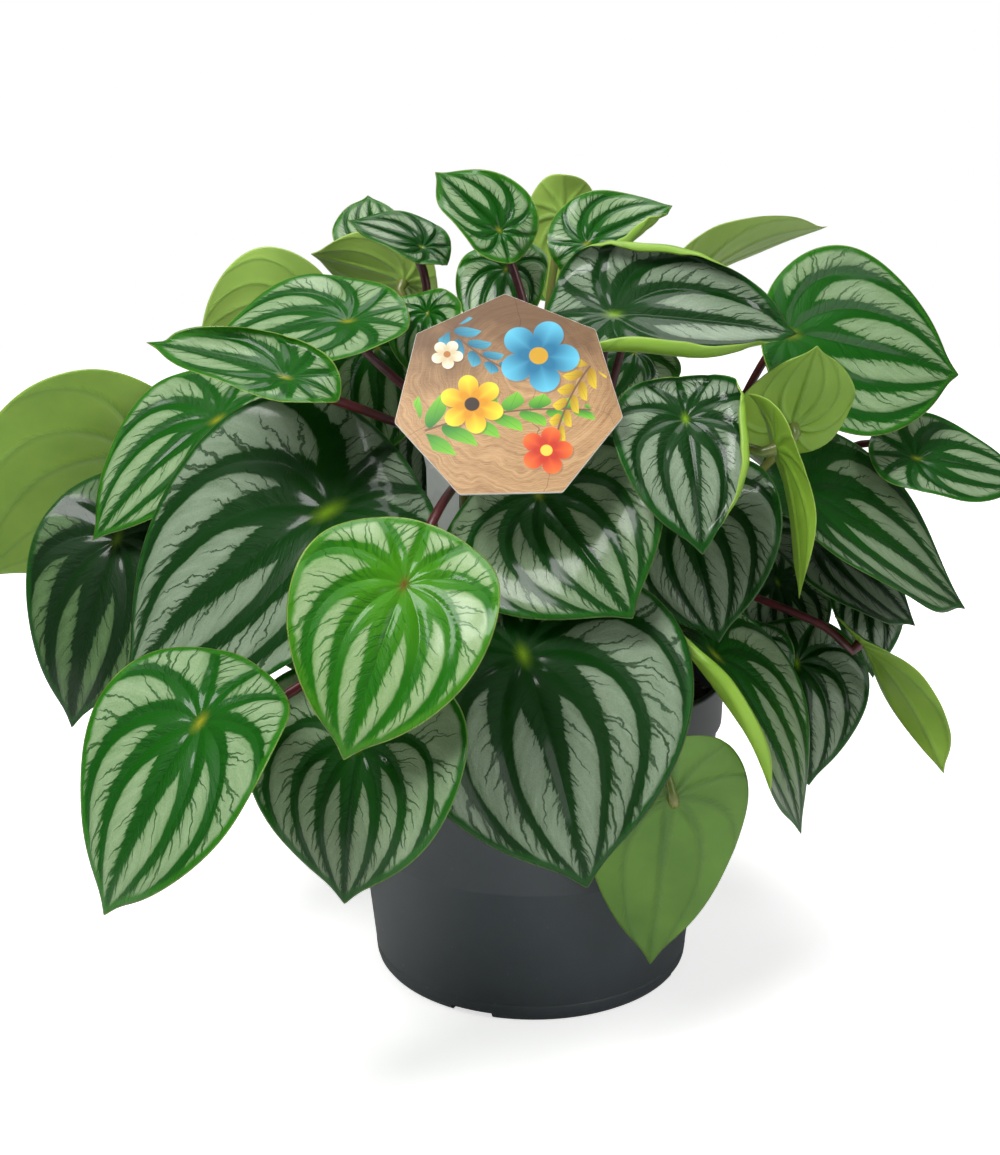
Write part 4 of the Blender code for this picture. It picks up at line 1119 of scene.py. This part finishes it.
def turned(name, profile, segments, finish):
    """A profile in millimetres turned about the Z axis into a closed solid."""
    points, rows = [], []
    for radius, height in profile:
        if radius < 1e-6:
            rows.append([len(points)] * segments)
            points.append((0, 0, height * MM))
            continue
        rows.append(list(range(len(points), len(points) + segments)))
        turns = 2 * np.pi * np.arange(segments) / segments
        points += [(radius * MM * math.cos(t), radius * MM * math.sin(t), height * MM) for t in turns]
    faces = []
    for low, high in zip(rows, rows[1:]):
        for i in range(segments):
            j = (i + 1) % segments
            faces.append(list(dict.fromkeys([low[i], low[j], high[j], high[i]])))
    return mesh_piece(name, points, faces, [finish])


def moulded_plastic(name, colour, faded, rough):
    """Matte moulded plastic with a fine eggshell grain, dust and faint turning rings."""
    made, tree, shader, where = new_material(name)
    height = parts_of(tree, where)[2]
    dust = noise(tree, where, 26, 4.0, 0.6)
    grain = noise(tree, where, 2200, 2.0, 0.6)
    rings = noise(tree, vector_of(tree, 0.0, 0.0, height * 900), 1.0, 2.0)
    specks = (noise(tree, where, 420, 1.0, 0.5) * 14 - 10.6).clamped()
    base = mixed(tree, (dust * 1.7 - 0.4).clamped(), colour, faded)
    base = mixed(tree, specks * 0.45, base, paint(120, 112, 100))
    set_surface(tree, shader, base, rough + 0.14 * dust + 0.06 * grain,
                grain * 0.6 + rings * 0.35, 0.00012, 0.55)
    return made


pot_finish = moulded_plastic("pot_slate_plastic", paint(50, 57, 62), paint(62, 69, 74), 0.40)
pot = turned("pot_moulded", POT_PROFILE, 160, pot_finish)
print("pot: rim radius", round(RIM, 1), "mm, height", round(HEIGHT, 1), "mm")

# %% [markdown]
# The drain holes and the notches are where the CAD pot has them: six holes on a ring of 28 mm,
# and four notches round the foot. One mesh of closed cutters is taken away in one go with an
# exact boolean, because the wall is thin and the cuts are small. Their edges stay crisp.

# %% Cut the holes and notches
DRAINS, DRAIN_RING, DRAIN_R, DRAIN_DEEP = 6, 28.0, 4.0, 12.0    # millimetres, as the rest here
NOTCHES, FIRST_NOTCH = 4, -112.0        # the first one's place in degrees
NOTCH_WIDE, NOTCH_HIGH, NOTCH_LONG = 13.0, 2.2, 14.0
FOOT_R = 50.0
SHARP_ANGLE = 50                        # degrees past which an edge of the pot is left sharp


def cutters():
    """Closed cutters for the pot's drains and notches, as one bmesh."""
    work = bmesh.new()
    for index in range(DRAINS):
        turn = 2 * math.pi * index / DRAINS
        made = bmesh.ops.create_cone(work, cap_ends=True, segments=40, radius1=DRAIN_R * MM,
                                     radius2=DRAIN_R * MM, depth=DRAIN_DEEP * MM)
        bmesh.ops.translate(work, verts=made["verts"], vec=(DRAIN_RING * MM * math.cos(turn),
                                                            DRAIN_RING * MM * math.sin(turn), 0))
    for index in range(NOTCHES):
        turn = math.radians(FIRST_NOTCH + 360 * index / NOTCHES)
        made = bmesh.ops.create_cube(work, size=1.0)["verts"]
        bmesh.ops.scale(work, verts=made, vec=(NOTCH_LONG * MM, NOTCH_WIDE * MM, 2 * NOTCH_HIGH * MM))
        bmesh.ops.translate(work, verts=made, vec=((FOOT_R - 1) * MM, 0, 0))
        spin = [[math.cos(turn), -math.sin(turn), 0], [math.sin(turn), math.cos(turn), 0], [0, 0, 1]]
        for vert in made:
            vert.co = np.array(spin) @ np.array(vert.co)
    return work


def taken_away(piece, work):
    """Cut the closed shapes in a bmesh from a piece, for good."""
    mesh = bpy.data.meshes.new("cutter")
    work.to_mesh(mesh)
    work.free()
    tool = new_object("cutter", mesh)
    cut = piece.modifiers.new("cut", "BOOLEAN")
    cut.operation, cut.solver, cut.object = "DIFFERENCE", "EXACT", tool
    bpy.context.view_layer.update()
    evaluated = piece.evaluated_get(bpy.context.evaluated_depsgraph_get())
    result = bpy.data.meshes.new_from_object(evaluated)
    piece.modifiers.clear()
    piece.data = result
    bpy.data.objects.remove(tool)


taken_away(pot, cutters())
pot.data.shade_smooth()
pot.data.set_sharp_from_angle(angle=math.radians(SHARP_ANGLE))
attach(pot, "root")
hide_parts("pot")
print("pot:", len(pot.data.polygons), "faces")

# %% [markdown]
# ## The soil
#
# Potting soil is dark peat with crumbs, bits of bark and a few white grains of perlite. The bed
# is one lumpy plug, turned like the pot, with the lumps added to its top by a sum of waves that
# fades out towards the wall.

# %% Soil bed
soil_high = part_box("soil")[1]
SOIL_R, SOIL_TOP = soil_high[0] / MM - 0.2, 86.0    # millimetres, a little clear of the wall
BED_RINGS = 26                                      # rings across the top, fine enough for lumps
WALL_FADE = 6                                       # the lumps fade out over this stretch


def soil_finish(name, dark, brown, scale):
    """Damp peat: dark brown mottled with reddish bits."""
    made, tree, shader, where = new_material(name)
    coarse, fine = noise(tree, where, scale, 4.0, 0.7), noise(tree, where, scale * 6, 3.0, 0.7)
    set_surface(tree, shader, mixed(tree, (coarse * 1.6 + fine * 0.8 - 0.95).clamped(), dark, brown),
                0.75 + 0.2 * fine, fine + coarse, 0.0008, 0.8)
    return made


def lumps(x, y):
    """Unevenness of the bed, in millimetres."""
    return (1.1 * np.sin(0.21 * x + 1.3) * np.cos(0.17 * y) + 0.7 * np.sin(0.43 * x - 0.39 * y)
            + 0.4 * np.sin(0.9 * x + 0.7 * y + 2) * np.cos(0.8 * y - 0.5 * x))


peat = soil_finish("soil_peat", paint(30, 16, 10), paint(84, 46, 28), 240)
bed = [(0, 4.6), (45.6, 4.6), (47.2, 8)]        # over the raised floor and up the wall
bed += [(47.2 + (SOIL_R - 47.8) * k / 6, 8 + 70 * k / 6) for k in range(1, 7)]
bed += [(SOIL_R, 84.2), (SOIL_R - 0.6, 85.2), (SOIL_R - 2.5, SOIL_TOP)]
bed += [(SOIL_R * k / BED_RINGS, SOIL_TOP + 1.0 * (1 - k / BED_RINGS))
        for k in range(BED_RINGS - 2, 0, -1)] + [(0, SOIL_TOP + 1.0)]
soil = turned("soil_bed", bed, 96, peat)
for vert in soil.data.vertices:
    if vert.co.z > (SOIL_TOP - 0.5) * MM:
        x, y = vert.co.x / MM, vert.co.y / MM
        rim_fade = min(1.0, max(0.0, (SOIL_R - math.hypot(x, y)) / WALL_FADE))
        vert.co.z += float(lumps(x, y)) * rim_fade * MM
print("soil bed: radius", round(SOIL_R, 1), "mm")

# %% [markdown]
# Crumbs lie all over the bed, so Geometry Nodes scatter them: points on the top of the bed, and
# on each point a pebble with its own size and turn. The pebble is a small ball pushed in and out
# by noise. The seed is fixed, so that the same crumbs lie in the same places every time.

# %% Geometry Nodes: crumbs
CRUMB_FLOOR = (SOIL_TOP - 1.5) * MM     # crumbs lie only on what is higher than this


def crumb_tree():
    """Scatter crumbs over the upward faces of a bed, keeping only the crumbs."""
    tree, given, out = new_tree(
        "Soil crumbs", "GeometryNodeTree",
        [("Geometry", "NodeSocketGeometry", None), ("Density", "NodeSocketFloat", 90000.0),
         ("Smallest", "NodeSocketFloat", 0.0006), ("Largest", "NodeSocketFloat", 0.0020),
         ("Seed", "NodeSocketInt", 7), ("Finish", "NodeSocketMaterial", None)],
        [("Geometry", "NodeSocketGeometry")])
    height = place(tree, "ShaderNodeSeparateXYZ",
                   {0: place(tree, "GeometryNodeInputPosition").outputs[0]}).outputs[2]
    on_top = place(tree, "FunctionNodeCompare", {0: height, 1: CRUMB_FLOOR}, operation="GREATER_THAN")
    points = place(tree, "GeometryNodeDistributePointsOnFaces",
                   {"Mesh": given["Geometry"], "Selection": on_top.outputs[0],
                    "Density": given["Density"], "Seed": given["Seed"]})
    ball = place(tree, "GeometryNodeMeshIcoSphere", {"Radius": 1.0, "Subdivisions": 2})
    lumpy = place(tree, "ShaderNodeTexNoise", {"Scale": 1.4, "Detail": 1.0}, noise_dimensions="3D")
    normal = place(tree, "GeometryNodeInputNormal").outputs[0]
    amount = (Wire(tree, lumpy.outputs[0]) - 0.5) * 1.6
    push = place(tree, "ShaderNodeVectorMath", {0: normal, "Scale": amount}, operation="SCALE")
    pebble = place(tree, "GeometryNodeSetPosition", {"Geometry": ball.outputs[0],
                                                     "Offset": push.outputs[0]})
    turn = place(tree, "FunctionNodeRandomValue", {0: (0, 0, 0), 1: (6.3, 6.3, 6.3),
                                                   "Seed": given["Seed"]}, data_type="FLOAT_VECTOR")
    size = place(tree, "FunctionNodeRandomValue", {"Seed": given["Seed"]}, data_type="FLOAT")
    share = Wire(tree, size.outputs[1]) ** 2.2
    width = given["Smallest"] + (given["Largest"] - given["Smallest"]) * share
    scale = vector_of(tree, width, width * 0.8, width * 0.6)
    spread = place(tree, "GeometryNodeInstanceOnPoints",
                   {"Points": points.outputs[0], "Instance": pebble.outputs[0],
                    "Rotation": turn.outputs[0], "Scale": scale})
    real = place(tree, "GeometryNodeRealizeInstances", {"Geometry": spread.outputs[0]})
    done = place(tree, "GeometryNodeSetMaterial", {"Geometry": real.outputs[0],
                                                   "Material": given["Finish"]})
    join(tree, out.inputs[0], done.outputs[0])
    return tree


crumbs = crumb_tree()
print("soil crumbs tree:", len(crumbs.nodes), "nodes")

# %% [markdown]
# One tree serves three kinds: peat crumbs, reddish bark bits and white perlite. Only the numbers
# per square metre, the sizes, the seed and the finish differ.

# %% Scatter the crumbs
bark = soil_finish("soil_bark", paint(62, 26, 14), paint(132, 70, 40), 300)
perlite = soil_finish("soil_perlite", paint(170, 164, 150), paint(214, 210, 200), 500)


def scattered(name, finish, density, smallest, largest, seed):
    """Crumbs of one kind as a plain mesh object."""
    mesh = run_tree(crumbs, new_object(name + "_bed", soil.data.copy()),
                    {"Finish": finish, "Density": density, "Smallest": smallest,
                     "Largest": largest, "Seed": seed}, name)
    mesh.shade_smooth()
    return new_object(name, mesh)


for piece in (scattered("soil_crumbs", peat, 90000.0, 0.0006, 0.0022, 7),
              scattered("soil_bark_bits", bark, 16000.0, 0.0008, 0.0030, 11),
              scattered("soil_perlite_grains", perlite, 3500.0, 0.0006, 0.0016, 23)):
    print(piece.name, len(piece.data.polygons), "faces")
    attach(piece, "root")
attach(soil, "root")
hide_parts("soil")

# %% [markdown]
# ## The crowns
#
# All stalks spring from three short fleshy stems that stand in the soil. Each is a turned stub
# with old leaf scars round it: rings that bulge a little, on a stem that isn't quite round.

# %% Grow the crowns
CROWN_STEPS = 40                    # heights in the profile, and points in each of its rings
SCAR, SCAR_TURNS = 0.05, 38         # how far the scars bulge, and how closely they follow


def crown_profile(radius, tall):
    """A ringed stub that swells out of the soil and closes in a blunt top."""
    profile = [(0, 0)]
    for share in (k / CROWN_STEPS for k in range(1, CROWN_STEPS)):
        shrink = 1 - 0.35 * max(0.0, (share - 0.7) / 0.3) ** 2
        scar = 1 + SCAR * math.sin(share * SCAR_TURNS) ** 3
        swell = min(1.0, 0.7 + 3 * share)
        profile.append((radius * 0.94 * shrink * scar * swell, tall * share * 0.985))
    return profile + [(radius * 0.45, tall * 0.993), (radius * 0.2, tall * 0.999), (0, tall)]


crown_finish = stalk_finish("crown_stem_skin", paint(84, 58, 34), paint(128, 62, 50))
crown_nodes = sorted(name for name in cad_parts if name.startswith("crown"))
for name in crown_nodes:
    low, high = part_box(name)
    middle, radius = (low + high) / 2, (high[0] - low[0]) / 2 / MM
    profile = crown_profile(radius, (high[2] - low[2]) / MM)
    crown = turned(name + "_stem", profile, CROWN_STEPS, crown_finish)
    for vert in crown.data.vertices:
        turn = math.atan2(vert.co.y, vert.co.x)
        swell = 1 + 0.045 * math.sin(3 * turn + vert.co.z / MM * 0.3) + 0.02 * math.sin(7 * turn)
        vert.co.x, vert.co.y = vert.co.x * swell + middle[0], vert.co.y * swell + middle[1]
        vert.co.z += low[2]
    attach(crown, "root")
    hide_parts(name)
print("crowns:", len(crown_nodes))

# %% [markdown]
# ## The picture card
#
# A heptagon of laminated card carries the picture. Its corners, its lean and its middle are read
# from the CAD card: the flattest direction of its points is the way it faces.

# %% Find the card's place
def plane_of(node):
    """Middle of a flat CAD piece's front face, its facing, the face's corners, and its depth."""
    points, _, _ = joined_up(node)
    middle = points.mean(0)
    facing = np.linalg.svd(points - middle)[2][2]
    facing = facing * -np.sign(facing[1])
    depth = (points - middle) @ facing
    front = points[depth > depth.mean()]
    return front.mean(0), facing, front, depth.max() - depth.min()


card_middle, card_facing, card_corners, card_depth = plane_of("label_card")
top_corner = card_corners[card_corners[:, 2].argmax()]
card_up = (top_corner - card_middle) / np.linalg.norm(top_corner - card_middle)
card_right = np.cross(card_up, card_facing)
CARD_R = float(np.linalg.norm(top_corner - card_middle)) / MM
print("card: corner radius", round(CARD_R, 1), "mm, depth", round(card_depth / MM, 2), "mm")

# %% [markdown]
# The outline gets slightly rounded corners, and the edge a fine bevel: four copies of the outline
# lie behind each other, the first and the last drawn in a little. A flat map in millimetres, with
# its zero in the middle of the card, will carry the printed picture.

# %% Cut the card
SIDES, CORNER, CORNER_POINTS = 7, 1.1, 7    # the corners' radius in millimetres
CARD_BEVEL = 0.12


def card_outline(inset):
    """Outline of the heptagon in millimetres, with rounded corners, moved in by an inset."""
    ring = []
    for side in range(SIDES):
        turn = 2 * math.pi * side / SIDES
        back = (CORNER + inset) / math.cos(math.pi / SIDES)
        cx, cy = (CARD_R - back) * math.sin(turn), (CARD_R - back) * math.cos(turn)
        for k in range(CORNER_POINTS):
            swing = turn + (k / (CORNER_POINTS - 1) - 0.5) * 2 * math.pi / SIDES
            ring.append((cx + CORNER * math.sin(swing), cy + CORNER * math.cos(swing)))
    return ring[::-1]


depth = card_depth / MM
layers = [(CARD_BEVEL, 0.0), (0.0, CARD_BEVEL), (0.0, depth - CARD_BEVEL), (CARD_BEVEL, depth)]
card_flat = [(x, y) for inset, _ in layers for x, y in card_outline(inset)]
count = SIDES * CORNER_POINTS
card_points = [card_middle + (card_right * x + card_up * y - card_facing * layers[i // count][1]) * MM
               for i, (x, y) in enumerate(card_flat)]
card_faces = [tuple(range(count)), tuple(reversed(range(3 * count, 4 * count)))]
for layer in range(3):
    for i in range(count):
        a, b = layer * count, (layer + 1) * count
        card_faces.append((a + (i + 1) % count, a + i, b + i, b + (i + 1) % count))
print("card outline:", count, "points")

# %% [markdown]
# The picture is printed in the shader, so it needs no image. Over sawn wood lie three sprays of
# leaves and four blossoms. A spray repeats one leaf along a stem, so one formula with a remainder
# in it draws the whole row. A blossom is a circle whose radius rises and falls once for each
# petal. Both are plain masks made of wires, and the colours come later.

# %% Print: masks of sprays and blossoms
def spray(x, y, foot, angle, length, leaf, step, bow):
    """Masks of a spray: its leaves, its stem, the way out along each leaf, and the leaf veins."""
    c, s = math.cos(math.radians(angle)), math.sin(math.radians(angle))
    along = (x - foot[0]) * c + (y - foot[1]) * s
    off = (y - foot[1]) * c - (x - foot[0]) * s - along * along * bow
    side = off.math("SIGN")
    within = (along * 3).clamped() * ((length - along) * 1.2).clamped()
    slant = along - abs(off) * 0.75 + side * step * 0.25
    cell = (slant / step).math("FRACT") - 0.5
    size = leaf * (1.05 - along / length * 0.75)
    way = (abs(off) / size).clamped()
    wide = 0.42 * step * ((way ** 0.75) * math.pi).math("SINE")
    leaves_mask = ((wide - abs(cell) * step) * 5).clamped() * within
    vein = ((0.10 - abs(cell) * step) * 12).clamped() * leaves_mask
    stem = ((0.32 - abs(off)) * 7).clamped() * within
    return leaves_mask, stem, way, vein


def blossom(x, y, centre, radius, petals, turn):
    """Masks of a blossom: its petals, its middle, the way out, and the creases between petals."""
    dx, dy = x - centre[0], y - centre[1]
    out = (dx * dx + dy * dy).math("SQRT")
    around = dy.math("ARCTAN2", dx) * (petals / 2) + turn
    edge = radius * (0.55 + 0.45 * abs(around.math("COSINE")) ** 0.6)
    return (((edge - out) * 4).clamped(), ((radius * 0.24 - out) * 5).clamped(),
            (out / radius).clamped(), abs(around.math("SINE")))


print("masks ready: spray, blossom")

# %% [markdown]
# The wood is a stack of noises: broad growth rings round a heart near the card's middle, fine
# rings inside them, saw marks along the plank, dark stains, and four drying cracks that widen
# from the heart outwards. A ready Wave texture would draw rings too, but all of one width.

# %% Print: sawn wood
HEART = (5, 6)          # the wood's heart, in millimetres from the middle of the card
CRACKS = ((-1.45, 0.16, 3), (2.55, 0.12, 8), (-2.6, 0.10, 12), (0.5, 0.12, 9))  # turn, width, start


def sawn_wood(tree, flat, x, y, stain):
    """The colour of the wood, and its saw marks as a mask."""
    warp = noise(tree, flat, 0.09, 2.0) - 0.5
    dx, dy = x - HEART[0] + warp * 9, y - HEART[1] + warp * 7
    ring = (dx * dx + dy * dy).math("SQRT")
    growth = noise(tree, vector_of(tree, ring * 0.85, warp * 2), 1.0, 3.0, 0.7)
    fine = noise(tree, vector_of(tree, ring * 3.4, warp * 3), 1.0, 2.0, 0.6)
    saw = noise(tree, vector_of(tree, x * 0.5 + y * 0.15, y * 3.0), 1.0, 2.0)
    wood = mixed(tree, (growth * 2.0 - 0.5).clamped(), paint(140, 98, 58), paint(204, 166, 118))
    wood = mixed(tree, (1.25 - fine * 2.2).clamped() * 0.6, wood, paint(112, 74, 42))
    wood = mixed(tree, (saw - 0.35).clamped() * 0.6, wood, paint(222, 190, 146))
    wood = mixed(tree, (y * 0.045 + stain * 1.8 - 0.80).clamped() * 0.85, wood, paint(92, 64, 40))
    spokes = dy.math("ARCTAN2", dx)
    for angle, wide, start in CRACKS:
        gap = abs((spokes - angle + warp * 0.25).math("SINE")) * ring
        crack = ((wide - gap) * 8).clamped() * ((ring - start) * 0.6).clamped()
        wood = mixed(tree, crack * (0.4 + 0.5 * stain), wood, paint(84, 56, 36))
    return wood, saw


print("wood: its heart is at", HEART, "mm, with", len(CRACKS), "cracks")

# %% [markdown]
# The sprays and the blossoms are laid over the wood one by one, each blossom with a small soft
# shadow, as in a printed collage. Each entry says where one of them is and which colours it
# runs between. Only the card's front face takes the print, and the rest is plain white board.

# %% Print: the picture
SPRAYS = (              # foot, angle, length, leaf, step, bow, dark colour, light colour
    ((-21, -9), 20, 41, 9.5, 6.6, -0.006, (28, 116, 34), (132, 204, 54)),
    ((-14, 19), -52, 22, 6.4, 5.0, 0.012, (20, 96, 124), (84, 176, 200)),
    ((21, 8), -128, 30, 5.2, 4.4, 0.010, (150, 112, 16), (232, 204, 44)))
BLOSSOMS = (            # centre, radius, petals, turn, dark colour, light colour, middle's colour
    ((8, 11), 10.4, 5, 0.3, (20, 108, 146), (96, 190, 218), (196, 150, 30)),
    ((-9, -2), 8.2, 6, 1.1, (206, 140, 8), (246, 224, 52), (52, 36, 28)),
    ((9, -15), 6.6, 5, 0.0, (188, 46, 20), (240, 112, 44), (236, 200, 70)),
    ((-15, 12), 4.2, 5, 0.6, (204, 186, 150), (246, 238, 214), (170, 110, 50)))
SHADOW = (0.35, -0.45)  # where a blossom's shadow lies


def card_print():
    """The printed front of the card."""
    made, tree, shader, _ = new_material("card_print")
    flat = place(tree, "ShaderNodeUVMap", uv_map="card_face").outputs[0]
    x, y, _ = parts_of(tree, flat)
    stain = noise(tree, flat, 0.055, 3.0, 0.6)
    colour, saw = sawn_wood(tree, flat, x, y, stain)
    for *shape, deep, light in SPRAYS:
        leaves_mask, stem, way, vein = spray(x, y, *shape)
        shade = mixed(tree, (way * 0.9 + (stain - 0.5) * 0.8).clamped(), paint(*deep), paint(*light))
        shade = mixed(tree, vein * 0.6, shade, paint(*deep))
        colour = mixed(tree, leaves_mask, colour, shade)
        colour = mixed(tree, stem, colour, paint(110, 84, 60))
    for centre, *shape, deep, light, heart in BLOSSOMS:
        petal, middle, out, crease = blossom(x, y, centre, *shape)
        shadow = blossom(x, y, (centre[0] + SHADOW[0], centre[1] + SHADOW[1]), *shape)[0]
        colour = mixed(tree, shadow * 0.35, colour, paint(70, 48, 32))
        shade = mixed(tree, (out * 1.3 - 0.25 - crease * 0.35).clamped(), paint(*deep), paint(*light))
        colour = mixed(tree, petal, colour, shade)
        colour = mixed(tree, middle, colour, paint(*heart))
    shader.inputs["Coat Weight"].default_value = 0.25
    shader.inputs["Coat Roughness"].default_value = 0.2
    set_surface(tree, shader, colour, 0.34 + 0.1 * saw, noise(tree, flat, 6.0, 2.0), 0.00004, 0.5)
    return made


card_board = moulded_plastic("card_back_white", paint(222, 220, 214), paint(208, 204, 196), 0.45)
card = mesh_piece("picture_card", card_points, card_faces, [card_print(), card_board])
for index, face in enumerate(card.data.polygons):
    face.material_index = 0 if index == 0 else 1
    face.use_smooth = False
card_map = card.data.uv_layers.new(name="card_face")
for loop in card.data.loops:
    card_map.data[loop.index].uv = card_flat[loop.vertex_index]
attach(card, "root")
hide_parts("label_card")
print("card:", len(card.data.polygons), "faces")

# %% [markdown]
# The stake is a flat strip of milky plastic, bent where it leaves the card and cut to a point.
# Its shape in the CAD is already right, so a copy of that mesh is merged into whole faces and
# its edges are rounded with a narrow bevel.

# %% Stake
FLAT_ENOUGH, CREASE = 0.5, 40       # degrees: faces merged below the first, edges rounded past the other
STAKE_BEVEL = 0.00022               # metres


def milky_plastic(name):
    """Milky white plastic with a cloudy gloss."""
    made, tree, shader, where = new_material(name)
    haze = noise(tree, where, 120, 3.0)
    join(tree, shader.inputs["Base Color"], mixed(tree, haze, paint(214, 218, 220), paint(236, 238, 238)))
    join(tree, shader.inputs["Roughness"], 0.22 + 0.15 * haze)
    shader.inputs["Coat Weight"].default_value = 0.3
    return made


stake_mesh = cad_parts["label_stake"].data.copy()
work = bmesh.new()
work.from_mesh(stake_mesh)
bmesh.ops.remove_doubles(work, verts=work.verts, dist=WELD)
bmesh.ops.dissolve_limit(work, angle_limit=math.radians(FLAT_ENOUGH), verts=work.verts, edges=work.edges)
sharp = [edge for edge in work.edges if edge.calc_face_angle(0) > math.radians(CREASE)]
bmesh.ops.bevel(work, geom=sharp, offset=STAKE_BEVEL, segments=3, affect="EDGES", profile=0.5)
bmesh.ops.triangulate(work, faces=work.faces)
work.to_mesh(stake_mesh)
work.free()
stake_mesh.materials.clear()
stake_mesh.materials.append(milky_plastic("stake_milky_plastic"))
stake_mesh.shade_smooth()
stake_mesh.set_sharp_from_angle(angle=math.radians(CREASE))
stake = new_object("card_stake", stake_mesh)
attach(stake, "root")
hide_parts("label_stake")
print("stake:", len(stake_mesh.polygons), "faces")
